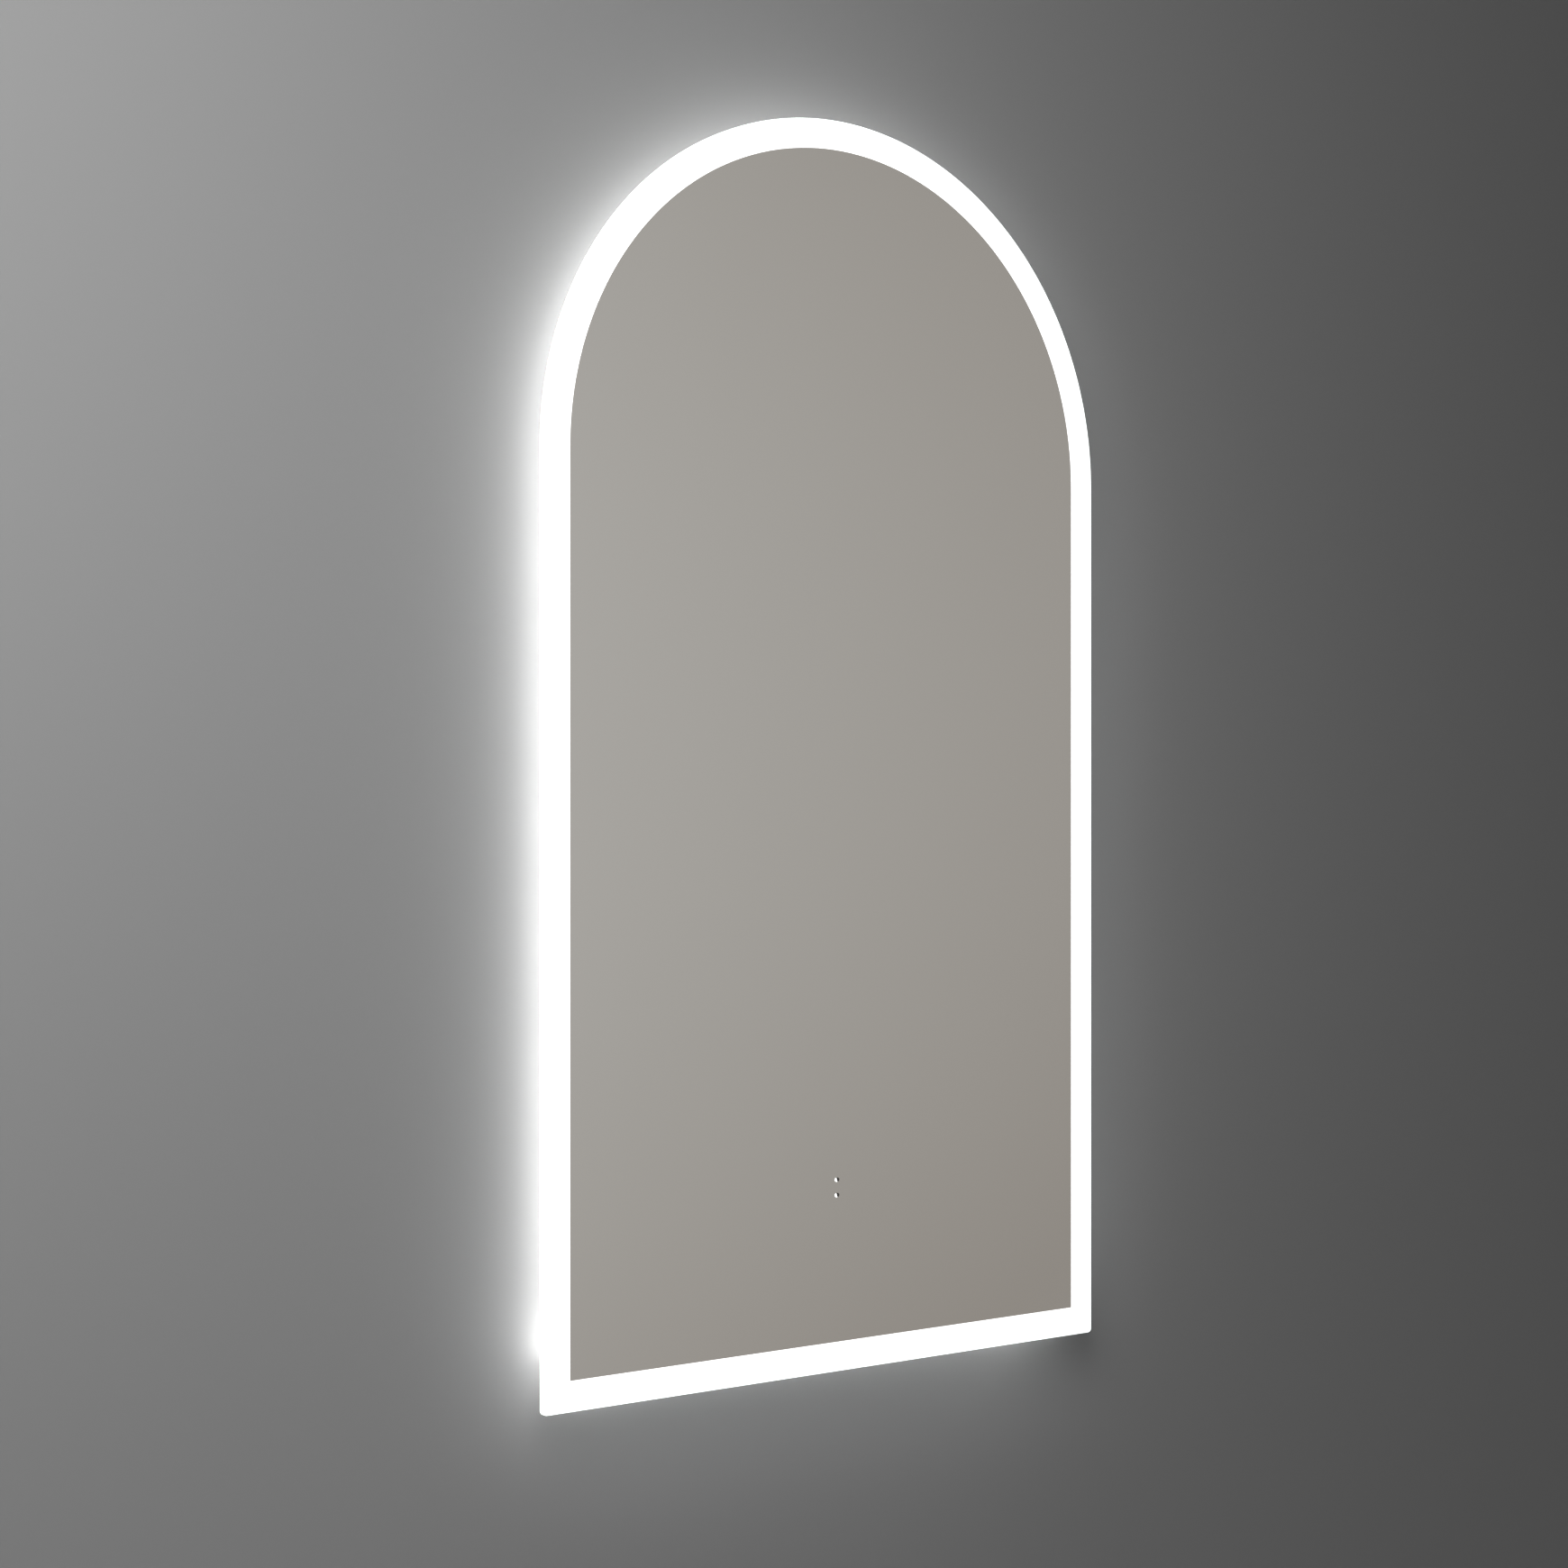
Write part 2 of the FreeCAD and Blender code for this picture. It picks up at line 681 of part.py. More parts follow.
def clip(body, plane, across, along):
    """Glued clip that holds a lead off the glass: a foot, a neck and an eye round the lead."""
    eye = "(lead_diameter + 2 * clip_play + 2 * clip_wall)"
    bore = "(lead_diameter + 2 * clip_play)"
    depth = f"{FILM_BACK} - {LEAD_DEPTH}"

    def flat(low_across, low_depth, high_across, high_depth):
        if plane == "XY_Plane":
            return rectangle(low_across, low_depth, high_across, high_depth)
        return rectangle(low_depth, low_across, high_depth, high_across)

    def round_eye(size):
        return circle(across, depth, size) if plane == "XY_Plane" else circle(depth, across, size)

    start = f"{along} - clip_length / 2"
    pad(body, "clip_length", flat(f"{across} - clip_base_width / 2", "0", f"{across} + clip_base_width / 2",
        "clip_base_thickness"), plane=plane, start=start)
    pad(body, "clip_length", flat(f"{across} - clip_neck / 2", "clip_base_thickness / 2",
        f"{across} + clip_neck / 2", depth), plane=plane, start=start)
    pad(body, "clip_length", round_eye(eye), plane=plane, start=start)
    cut(body, "clip_length", round_eye(bore), plane=plane, start=start)


def lead(label, route):
    """A round lead along straight runs joined by tangent arcs, each as large as its two runs allow."""
    spots = [FreeCAD.Vector(value(x), -value(depth), value(z)) for x, depth, z in route]
    edges = []
    here = spots[0]
    for before, corner, after in zip(spots, spots[1:], spots[2:]):
        arriving = (corner - before).normalize()
        leaving = (after - corner).normalize()
        angle = arriving.getAngle(leaving)
        reach = BEND_SHARE * min((corner - before).Length, (after - corner).Length)
        radius = reach / math.tan(angle / 2)
        begin = corner - arriving * reach
        end = corner + leaving * reach
        inward = (leaving - arriving).normalize()
        crown = corner + inward * (radius / math.cos(angle / 2) - radius)
        edges.append(Part.LineSegment(here, begin).toShape())
        edges.append(Part.Arc(begin, crown, end).toShape())
        print(f"{label}: bend radius {radius:.1f}")
        here = end
    edges.append(Part.LineSegment(here, spots[-1]).toShape())
    path = Part.Wire(edges)
    radius = value("lead_diameter") / 2
    ring = Part.Wire(Part.Circle(spots[0], spots[1] - spots[0], radius).toShape())
    solid = path.makePipeShell([ring], True, False)
    share = solid.Volume / (math.pi * radius**2 * path.Length)
    print(f"{label}: length {path.Length:.1f}, volume over section times length {share:.5f}")
    part = doc.addObject("Part::Feature", label)
    part.Label = label
    part.Shape = solid
    part.Placement = FreeCAD.Placement()
    sub_parts.append(part)


# Glass


def make_glass():
    glass = plate("mirror_glass", GLASS_BACK, "glass_thickness", arch("0"))
    low = value(GLASS_BOTTOM)
    dress(glass, "Fillet", "corner_radius",
          lambda edge: runs_along(edge, "y") and abs(edge.BoundBox.ZMin - low) < SAME_PLACE)
    dress(glass, "Chamfer", "edge_arris", lambda edge: edge.BoundBox.YLength < SAME_PLACE)

    above = f"{SENSOR_HEIGHT} + window_pitch / 2"
    below = f"{SENSOR_HEIGHT} - window_pitch / 2"
    windows = [circle("0", z, "window_diameter") for z in (above, below)]
    plate("silver_coating", COATING_BACK, "coating_thickness", arch("border_width"), *windows)
    plate("frosted_border", COATING_BACK, "coating_thickness", arch("2 * edge_arris"), arch("border_width"))
    openings = [circle("0", z, "(window_diameter + 2 * window_margin)") for z in (above, below)]
    plate("safety_film", FILM_BACK, "film_thickness", arch("(border_width + film_margin)"), *openings)


# Frame


def make_frame():
    side = "(frame_depth / 2)"
    inside = "(frame_depth / 2 - frame_wall)"
    mouth = f"({inside} - lip_height)"
    lip = "(frame_inset + lip_thickness)"
    channel = [
        ("frame_inset", f"-{side}"),
        (FRAME_INNER, f"-{side}"),
        (FRAME_INNER, side),
        ("frame_inset", side),
        ("frame_inset", mouth),
        (lip, mouth),
        (lip, inside),
        (WEB_OUTER, inside),
        (WEB_OUTER, f"-{inside}"),
        (lip, f"-{inside}"),
        (lip, f"-{mouth}"),
        ("frame_inset", f"-{mouth}"),
    ]
    chamber = [
        (WEB_INNER, f"-{inside}"),
        (CHAMBER_INNER, f"-{inside}"),
        (CHAMBER_INNER, inside),
        (WEB_INNER, inside),
    ]
    bow, left, right, base = perimeter("frame", "frame_inset", FRAME_INNER, [channel, chamber])

    column = half(CHAMBER_MIDDLE)
    wall_screws = [
        (bow, [(f"{sign}{column}", "joint_screw_offset") for sign in ("-", "")]),
        (left, [(f"-{column}", "spring_height - joint_screw_offset"),
                (f"-{column}", f"{up(CHAMBER_MIDDLE)} + corner_key_reach - joint_screw_offset")]),
        (right, [(column, "spring_height - joint_screw_offset"),
                 (column, f"{up(CHAMBER_MIDDLE)} + corner_key_reach - joint_screw_offset")]),
        (base, [(f"{sign}({column} - corner_key_reach + joint_screw_offset)", up(CHAMBER_MIDDLE))
                for sign in ("-", "")]),
    ]
    for body, places in wall_screws:
        holes = [circle(x, z, SCREW_HOLE) for x, z in places]
        cut(body, "frame_wall", *holes, start="-frame_depth / 2")
    bumper = half(f"({FRAME_INNER} + frame_inset) / 2")
    plate("bonding_tape", FRAME_FRONT, "tape_thickness", arch("(frame_inset + tape_margin)"),
          arch(f"({FRAME_INNER} - tape_margin)"))

    for body, sign in ((left, "-"), (right, "")):
        inner = half(FRAME_INNER)
        start = f"-({inner} + frame_wall)" if sign else inner
        depth = f"{FRAME_MIDDLE} - {TAB_SCREW_DEPTH}"
        holes = [circle(depth, z, SCREW_HOLE) for height in (BAR_MIDDLE, LOWER_BAR) for z in pair(height)]
        cut(body, "frame_wall", *holes, plane="YZ_Plane", start=start)
    return left, right, wall_screws, bumper


def make_keys(wall_screws):
    """Corner keys and splices inside the frame's chamber, and the screws that hold them."""
    thick = "(frame_depth - 2 * frame_wall - 2 * key_clearance)"
    back = f"({FRAME_BACK} + frame_wall + key_clearance)"
    near = f"({WEB_INNER} + key_clearance)"
    far = f"({CHAMBER_INNER} - key_clearance)"
    reach = f"({CHAMBER_MIDDLE} + corner_key_reach)"
    keys = new_body("corner_keys", depth=back)
    bends = [
        polygon(
            [
                (f"{sign}{half(near)}", up(near)),
                (f"{sign}{half(reach)}", up(near)),
                (f"{sign}{half(reach)}", up(far)),
                (f"{sign}{half(far)}", up(far)),
                (f"{sign}{half(far)}", up(reach)),
                (f"{sign}{half(near)}", up(reach)),
            ]
        )
        for sign in ("-", "")
    ]
    pad(keys, thick, *bends)
    rise = f"(sqrt({half(WEB_INNER)} ^ 2 - splice_reach ^ 2) - key_clearance)"
    splices = new_body("splice_keys", depth=back)
    straights = [
        rectangle(f"{sign}{half(far)}", "spring_height - splice_reach", f"{sign}{rise}",
                  "spring_height + splice_reach")
        for sign in ("-", "")
    ]
    pad(splices, thick, *straights)

    bow, left, right, base = (places for _, places in wall_screws)
    arch_places = [(x, f"spring_height + {z}") for x, z in bow]
    leg_places = [places[number] for number in (0, 1) for places in (left, right)]
    bore = "(screw_length - frame_wall - key_clearance)"
    for body, places in ((splices, arch_places + leg_places[:2]), (keys, leg_places[2:] + base)):
        cut(body, bore, *[circle(x, z, "screw_diameter") for x, z in places])
    pan_screws("frame_screws", FRAME_BACK, arch_places + leg_places + base)


def make_bumpers(column):
    body = new_body("wall_bumpers")
    heights = (up("bumper_rise"), "spring_height - bumper_drop")
    pad(body, "wall_gap", *[circle(f"{sign}{column}", z, "bumper_diameter")
                            for sign in ("-", "") for z in heights])
    dress(body, "Fillet", "bumper_round", lambda edge: lies_at(edge, 0) and edge.Length > 1)


# Light


def make_light():
    floor = WEB_OUTER
    strip = new_body("led_strip", depth=f"{FRAME_MIDDLE} - strip_width / 2")
    pad(strip, "strip_width", arch(f"({floor} - strip_thickness)"), arch(floor))

    skin = f"({floor} - strip_thickness)"
    crown = f"({skin} - chip_height)"
    flank = "(chip_width / 2)"
    count = f"floor((spring_height - {up(skin)}) / chip_pitch - 1)"
    for side, sign in (("left", "-"), ("right", "")):
        chips = new_body(f"led_chips_{side}", depth=FRAME_MIDDLE)
        outline = rectangle(f"{sign}{half(skin)}", f"-{flank}", f"{sign}{half(crown)}", flank)
        lowest = f"spring_height - chip_pitch * {count} - chip_length / 2"
        first = pad(chips, "chip_length", outline, plane="XY_Plane", start=lowest)
        row(chips, first, "Z_Axis", "chip_pitch", count)

    chips = new_body("led_chips_bottom", depth=FRAME_MIDDLE)
    count = f"(2 * floor(({half(skin)} - chip_pitch) / chip_pitch) + 1)"
    first = pad(chips, "chip_length", rectangle(f"-{flank}", up(crown), flank, up(skin)), plane="YZ_Plane",
                start=f"-chip_pitch * ({count} - 1) / 2 - chip_length / 2")
    row(chips, first, "X_Axis", "chip_pitch", count)

    chips = new_body("led_chips_arch", depth=FRAME_MIDDLE, z="spring_height")
    first = pad(chips, "chip_length", rectangle(f"-{half(crown)}", f"-{flank}", f"-{half(skin)}", flank),
                plane="XY_Plane", start="-chip_length / 2")
    half_ring(chips, first, f"floor({half(skin)} * pi / chip_pitch)")

    side = "(frame_depth / 2 - frame_wall - diffuser_play)"
    skin_section = [
        (DIFFUSER_OUTER, f"-{side}"),
        (DIFFUSER_INNER, f"-{side}"),
        (DIFFUSER_INNER, side),
        (DIFFUSER_OUTER, side),
    ]
    perimeter("diffuser", DIFFUSER_OUTER, DIFFUSER_INNER, [skin_section])


# Wall rail and the bars that carry the mirror


def make_rail():
    rail = new_body("wall_rail")
    web = "(rail_height / 2)"
    inner = "(rail_standoff - rail_thickness)"
    section = [
        ("0", f"-{web}"),
        ("0", web),
        (f"-{inner}", web),
        (f"-{inner}", LIP_TOP),
        ("-rail_standoff", LIP_TOP),
        ("-rail_standoff", f"{web} - rail_thickness"),
        ("-rail_thickness", f"{web} - rail_thickness"),
        ("-rail_thickness", f"-{web}"),
    ]
    pad(rail, "rail_length", polygon(section), plane="YZ_Plane", symmetric=True)
    top = value(LIP_TOP)
    dress(rail, "Fillet", "rail_edge_round",
          lambda edge: runs_along(edge, "x") and abs(edge.BoundBox.ZMin - top) < SAME_PLACE)
    slots = [slot(f"{sign}slot_spacing / 2", "0", "slot_length", "slot_width") for sign in ("-", "")]
    cut(rail, "through", *slots)


def make_bars():
    """The hanging bar with its hook, and the lower bar, both with an end tab on each leg of the frame."""
    hook_back = "(rail_standoff - rail_thickness - hook_play - bar_thickness)"
    hook_front = "(rail_standoff - rail_thickness - hook_play)"
    face = "(bar_face_depth - bar_thickness)"
    span = f"(2 * {half(FRAME_INNER)})"
    crown = f"({LIP_TOP} + bar_thickness)"
    hook = [
        (f"-{hook_back}", crown),
        (f"-{hook_back}", f"{LIP_TOP} - hook_overlap"),
        (f"-{hook_front}", f"{LIP_TOP} - hook_overlap"),
        (f"-{hook_front}", LIP_TOP),
        (f"-{face}", LIP_TOP),
        (f"-{face}", f"{crown} - bar_skirt"),
        ("-bar_face_depth", f"{crown} - bar_skirt"),
        ("-bar_face_depth", crown),
    ]
    edge = "-(bar_face_depth - lower_bar_return)"
    trough = [
        ("-bar_face_depth", f"{LOWER_BAR} - lower_bar_height / 2"),
        (edge, f"{LOWER_BAR} - lower_bar_height / 2"),
        (edge, f"{LOWER_BAR} - lower_bar_height / 2 + bar_thickness"),
        (f"-{face}", f"{LOWER_BAR} - lower_bar_height / 2 + bar_thickness"),
        (f"-{face}", f"{LOWER_BAR} + lower_bar_height / 2 - bar_thickness"),
        (edge, f"{LOWER_BAR} + lower_bar_height / 2 - bar_thickness"),
        (edge, f"{LOWER_BAR} + lower_bar_height / 2"),
        ("-bar_face_depth", f"{LOWER_BAR} + lower_bar_height / 2"),
    ]
    middle = "(bar_face_depth - bar_thickness / 2)"
    bars = (
        ("hanging_bar", hook, BAR_MIDDLE, "bar_skirt"),
        ("lower_bar", trough, LOWER_BAR, "lower_bar_height"),
    )
    for label, section, height, tall in bars:
        bar = new_body(label)
        pad(bar, f"{span} - 2 * bar_thickness", polygon(section), plane="YZ_Plane", symmetric=True)
        tab = block(f"-{middle}", height, "tab_depth", tall)
        end = pad(bar, "bar_thickness", tab, plane="YZ_Plane", start=f"{half(FRAME_INNER)} - bar_thickness")
        mirror(bar, end)
        holes = [circle(f"-{TAB_SCREW_DEPTH}", z, SCREW_HOLE) for z in pair(height)]
        cut(bar, "through", *holes, plane="YZ_Plane")

    screws = new_body("bar_screws")
    places = [(f"-{TAB_SCREW_DEPTH}", z) for height in (BAR_MIDDLE, LOWER_BAR) for z in pair(height)]
    seat = f"({half(FRAME_INNER)} - bar_thickness)"
    head = pad(screws, "screw_head_height", *[circle(y, z, "screw_head_diameter") for y, z in places],
               plane="YZ_Plane", start=f"{seat} - screw_head_height")
    shank = pad(screws, "screw_length", *[circle(y, z, "screw_diameter") for y, z in places],
                plane="YZ_Plane", start=seat)
    recess = cut(screws, "recess_depth", *[cross(y, z, "recess_span", "recess_width") for y, z in places],
                 plane="YZ_Plane", start=f"{seat} - screw_head_height")
    mirror(screws, head, shank, recess)


# Driver box


def make_box():
    tray = new_body("driver_tray", depth=BOX_RIM, z="-box_drop")
    wide = "(box_width / 2)"
    tall = "(box_height / 2)"
    inside = "(box_corner - box_wall)"
    pad(tray, "box_depth", rounded(f"-{wide}", f"-{tall}", wide, tall, "box_corner"))
    cut(tray, "box_depth - box_floor",
        rounded(ROOM_LEFT, f"-{ROOM_TOP}", ROOM_RIGHT, ROOM_TOP, inside),
        rounded(TERMINAL_LEFT, f"-{ROOM_TOP}", TERMINAL_RIGHT, ROOM_TOP, inside))
    bosses = boss_places()
    pad(tray, "box_depth - box_floor", *[circle(x, z, "boss_diameter") for x, z in bosses])
    cut(tray, "boss_hole_depth", *[circle(x, z, "screw_diameter") for x, z in bosses])
    for sign in ("-", "+"):
        middle = f"{TERMINAL_MIDDLE} {sign} (barrel_length / 2 + barrel_gap + ear_width / 2)"
        start = f"{middle} - ear_width / 2"
        pad(tray, "ear_width", rectangle("-ear_root", f"{tall} - box_wall / 2", PIVOT_DEPTH,
            f"{PIVOT_HEIGHT} + hinge_knuckle / 2"), plane="YZ_Plane", start=start)
        pad(tray, "ear_width", circle(PIVOT_DEPTH, PIVOT_HEIGHT, "hinge_knuckle"), plane="YZ_Plane",
            start=start)
        cut(tray, "ear_width", rectangle("0", f"{tall} - box_wall", PIVOT_DEPTH, tall), plane="YZ_Plane",
            start=start)
        cut(tray, "ear_width", circle(PIVOT_DEPTH, PIVOT_HEIGHT, "hinge_pin_diameter"), plane="YZ_Plane",
            start=start)
    cut(tray, "box_wall", circle(BOX_LEAD, f"{LED_LEAD_OUT} + box_drop", "grommet_hole"), plane="YZ_Plane",
        start=f"-{wide}")
    cut(tray, "box_wall", circle(DRIVER_MIDDLE, BOX_LEAD, "grommet_hole"),
        circle(TERMINAL_MIDDLE, "-box_depth / 2", "(gland_thread + 2 * gland_play)"),
        plane="XY_Plane", start=f"-{tall}")
    cut(tray, "box_wall", circle(f"{TERMINAL_MIDDLE} - pole_pitch", BOX_LEAD, "grommet_hole"),
        circle(f"{TERMINAL_MIDDLE} + pole_pitch", BOX_LEAD, "grommet_hole"),
        plane="XY_Plane", start=ROOM_TOP)

    tapes = new_body("box_tapes", depth=BOX_FLOOR_FRONT, z="-box_drop")
    pad(tapes, "box_tape", *[block(f"{sign}(box_width / 2 - box_corner - box_tape_width / 2)", "0",
                                   "box_tape_width", "box_tape_height") for sign in ("-", "")])

    right = f"({RIB} - cover_gap / 2)"
    cover = new_body("driver_cover", depth=BOX_RIM, z="-box_drop")
    pad(cover, "cover_thickness", rectangle(f"-{wide}", f"-{tall}", right, tall),
        start=COVER_BACK)
    low, top = -value(wide), value("gasket_thickness + cover_thickness")
    dress(cover, "Fillet", "box_corner",
          lambda edge: runs_along(edge, "y") and abs(edge.BoundBox.XMin - low) < SAME_PLACE)
    dress(cover, "Chamfer", "cover_round", lambda edge: lies_at(edge, top))
    cut(cover, "panel_relief", rectangle(f"-{wide} + panel_inset", f"-{tall} + panel_inset",
        f"{right} - panel_inset", f"{tall} - panel_inset"), start=COVER_BACK)
    cut(cover, "through", *[circle(x, z, SCREW_HOLE) for x, z in bosses])

    gasket = new_body("cover_gasket", depth=BOX_RIM, z="-box_drop")
    rim = "gasket_inset"
    pad(gasket, "gasket_thickness",
        rounded(f"-{wide} + {rim}", f"-{tall} + {rim}", f"{right} - cover_gap", f"{tall} - {rim}",
                f"(box_corner - {rim})"),
        rounded(f"{ROOM_LEFT} - {rim}", f"-{ROOM_TOP} - {rim}", f"{ROOM_RIGHT} + gasket_rib_inset",
                f"{ROOM_TOP} + {rim}", f"({inside} + {rim})"),
        start="-gasket_thickness")
    screw_places = [(x, f"{z} - box_drop") for x, z in bosses]
    pan_screws("cover_screws", f"({BOX_RIM} - gasket_thickness - cover_thickness)", screw_places)


def boss_places():
    """Middles of the four screw bosses in the corners of the driver's room."""
    off = "(boss_diameter / 2 - boss_bite)"
    return [
        (x, z)
        for x in (f"{ROOM_LEFT} + {off}", f"{ROOM_RIGHT} - {off}")
        for z in (f"-({ROOM_TOP} - {off})", f"({ROOM_TOP} - {off})")
    ]


def make_terminal_cover():
    flap = new_body("terminal_cover", depth=BOX_RIM, z="-box_drop")
    tall = "(box_height / 2)"
    left = f"({RIB} + cover_gap / 2)"
    right = "(box_width / 2)"
    pad(flap, "cover_thickness", rectangle(left, f"-{tall}", right, f"{tall} - flap_gap"), start=COVER_BACK)
    edge_x, top = value(right), value("gasket_thickness + cover_thickness")
    dress(flap, "Fillet", "box_corner",
          lambda edge: runs_along(edge, "y") and abs(edge.BoundBox.XMin - edge_x) < SAME_PLACE)
    dress(flap, "Chamfer", "cover_round", lambda edge: lies_at(edge, top))
    pad(flap, "cover_thickness / 2", block(TERMINAL_MIDDLE, f"-{tall}", "finger_tab_width",
        "(2 * finger_tab_reach)"), start=COVER_BACK)
    play = "skirt_play"
    room = "(box_corner - box_wall)"
    pad(flap, "gasket_thickness + skirt_depth",
        rounded(f"{TERMINAL_LEFT} + {play}", f"-{ROOM_TOP} + {play}", f"{TERMINAL_RIGHT} - {play}",
                f"{ROOM_TOP} - {play}", f"({room} - {play})"),
        rounded(f"{TERMINAL_LEFT} + {play} + skirt_wall", f"-{ROOM_TOP} + {play} + skirt_wall",
                f"{TERMINAL_RIGHT} - {play} - skirt_wall", f"{ROOM_TOP} - {play} - skirt_wall",
                f"({room} - {play}) / 2"),
        start="-gasket_thickness")
    barrel = f"{TERMINAL_MIDDLE} - barrel_length / 2"
    pad(flap, "barrel_length", rectangle("gasket_thickness", f"{tall} - flap_gap * 2",
        "(gasket_thickness + cover_thickness)", PIVOT_HEIGHT), plane="YZ_Plane", start=barrel)
    pad(flap, "barrel_length", circle(PIVOT_DEPTH, PIVOT_HEIGHT, "hinge_knuckle"), plane="YZ_Plane",
        start=barrel)
    cut(flap, "barrel_length", circle(PIVOT_DEPTH, PIVOT_HEIGHT, "(hinge_pin_diameter + 2 * hinge_play)"),
        plane="YZ_Plane", start=barrel)

    length = "(barrel_length + 2 * barrel_gap + 2 * ear_width)"
    hinge_pin = new_body("hinge_pin", depth=BOX_RIM, z="-box_drop")
    pad(hinge_pin, length, circle(PIVOT_DEPTH, PIVOT_HEIGHT, "hinge_pin_diameter"), plane="YZ_Plane",
        start=f"{TERMINAL_MIDDLE} - {length} / 2")


def make_driver():
    driver = new_body("led_driver", x=DRIVER_MIDDLE, depth=f"({BOX_FLOOR} - driver_thickness)", z="-box_drop")
    pad(driver, "driver_thickness", rounded(f"-{DRIVER_SIDE}", f"-{DRIVER_RIM}", DRIVER_SIDE, DRIVER_RIM,
                                            "driver_corner"))
    panel_side = f"({DRIVER_SIDE} - driver_panel_side)"
    panel_rim = f"({DRIVER_RIM} - driver_panel_rim)"
    cut(driver, "driver_panel_relief", rectangle(f"-{panel_side}", f"-{panel_rim}", panel_side, panel_rim))

    terminals = new_body("terminal_block", x=TERMINAL_MIDDLE, depth=f"({BOX_FLOOR} - block_thickness)",
                         z="-box_drop")
    pad(terminals, "block_thickness - block_step", rectangle("-block_width / 2", f"-{BLOCK_TOP}",
        "block_width / 2", BLOCK_TOP), start="block_step")
    poles = [f"{number} * pole_pitch" for number in (-1, 0, 1)]
    saddles = [block(x, "0", "(pole_pitch - block_groove)", "block_saddle") for x in poles]
    pad(terminals, "block_thickness", *saddles)
    wells = [circle(x, "0", "(pole_screw_diameter + 2 * screw_play)") for x in poles]
    cut(terminals, "pole_screw_sink + pole_screw_length", *wells)
    entry = f"{LEAD_DEPTH} - ({BOX_FLOOR} - block_thickness)"
    entries = [circle(x, f"-({entry})", LEAD_HOLE) for x in poles]
    cut(terminals, "entry_depth", *entries, plane="XY_Plane", start=f"{BLOCK_TOP} - entry_depth")
    cut(terminals, "entry_depth", *entries, plane="XY_Plane", start=f"-{BLOCK_TOP}")

    screws = new_body("terminal_screws", x=TERMINAL_MIDDLE,
                      depth=f"({BOX_FLOOR} - block_thickness + pole_screw_sink)", z="-box_drop")
    pad(screws, "pole_screw_length", *[circle(x, "0", "pole_screw_diameter") for x in poles])
    cut(screws, "pole_slot_depth", *[block(x, "0", "(2 * pole_screw_diameter)", "pole_slot_width")
                                     for x in poles])


def make_gland():
    """Cable gland in the lower wall of the terminal room: body, locknut, seal and cap on one upright axis."""
    depth = f"({BOX_RIM} + box_depth / 2)"
    place = {"x": TERMINAL_MIDDLE, "depth": depth, "z": BOX_FOOT}
    thread = circle("0", "0", "gland_thread")
    thread_hole = circle("0", "0", "(gland_thread + 2 * gland_play)")
    bore = circle("0", "0", "seal_bore")
    socket = circle("0", "0", "(seal_diameter + 2 * gland_play)")
    flats = hexagon("0", "0", "gland_flats")
    seal_low = "-(gland_hex_height + seal_length)"

    body = new_body("gland_body", **place)
    pad(body, "gland_hex_height", flats, plane="XY_Plane", start="-gland_hex_height")
    pad(body, "box_wall + locknut_height + gland_thread_end", thread, plane="XY_Plane")
    pad(body, "seal_length", thread, plane="XY_Plane", start=seal_low)
    cut(body, "through", bore, plane="XY_Plane")
    cut(body, "seal_length", socket, plane="XY_Plane", start=seal_low)

    nut = new_body("gland_locknut", **place)
    pad(nut, "locknut_height", flats, thread_hole, plane="XY_Plane", start="box_wall")

    seal = new_body("gland_seal", **place)
    pad(seal, "seal_length", circle("0", "0", "seal_diameter"), bore, plane="XY_Plane", start=seal_low)

    cap = new_body("gland_cap", **place)
    foot = "-(gland_hex_height + gland_cap_height)"
    pad(cap, "gland_cap_height", circle("0", "0", "gland_cap_diameter"), plane="XY_Plane", start=foot)
    low = value(foot)
    dress(cap, "Fillet", "gland_cap_round", lambda edge: edge.BoundBox.ZMax - low < SAME_PLACE)
    cut(cap, "seal_length", thread_hole, plane="XY_Plane", start=seal_low)
    cut(cap, "through", bore, plane="XY_Plane")


# Demister and touch sensor


def make_demister():
    depth = f"({FILM_BACK} - demister_thickness)"
    plate("demister_pad", depth, "demister_thickness",
          rounded("-demister_width / 2", "-demister_height / 2", "demister_width / 2", "demister_height / 2",
                  "demister_corner"), z="demister_rise")
    back = f"({LEAD_DEPTH} - lead_diameter / 2 - patch_cap)"
    patch = plate("demister_terminal", back, f"{depth} - {back}",
                  rounded("-patch_width / 2", "0", "patch_width / 2", "patch_height", "patch_corner"),
                  x=PATCH_MIDDLE, z=PATCH_LOW)
    cut(patch, "entry_depth", circle("0", f"{back} - {LEAD_DEPTH}", LEAD_HOLE),
        plane="XY_Plane")


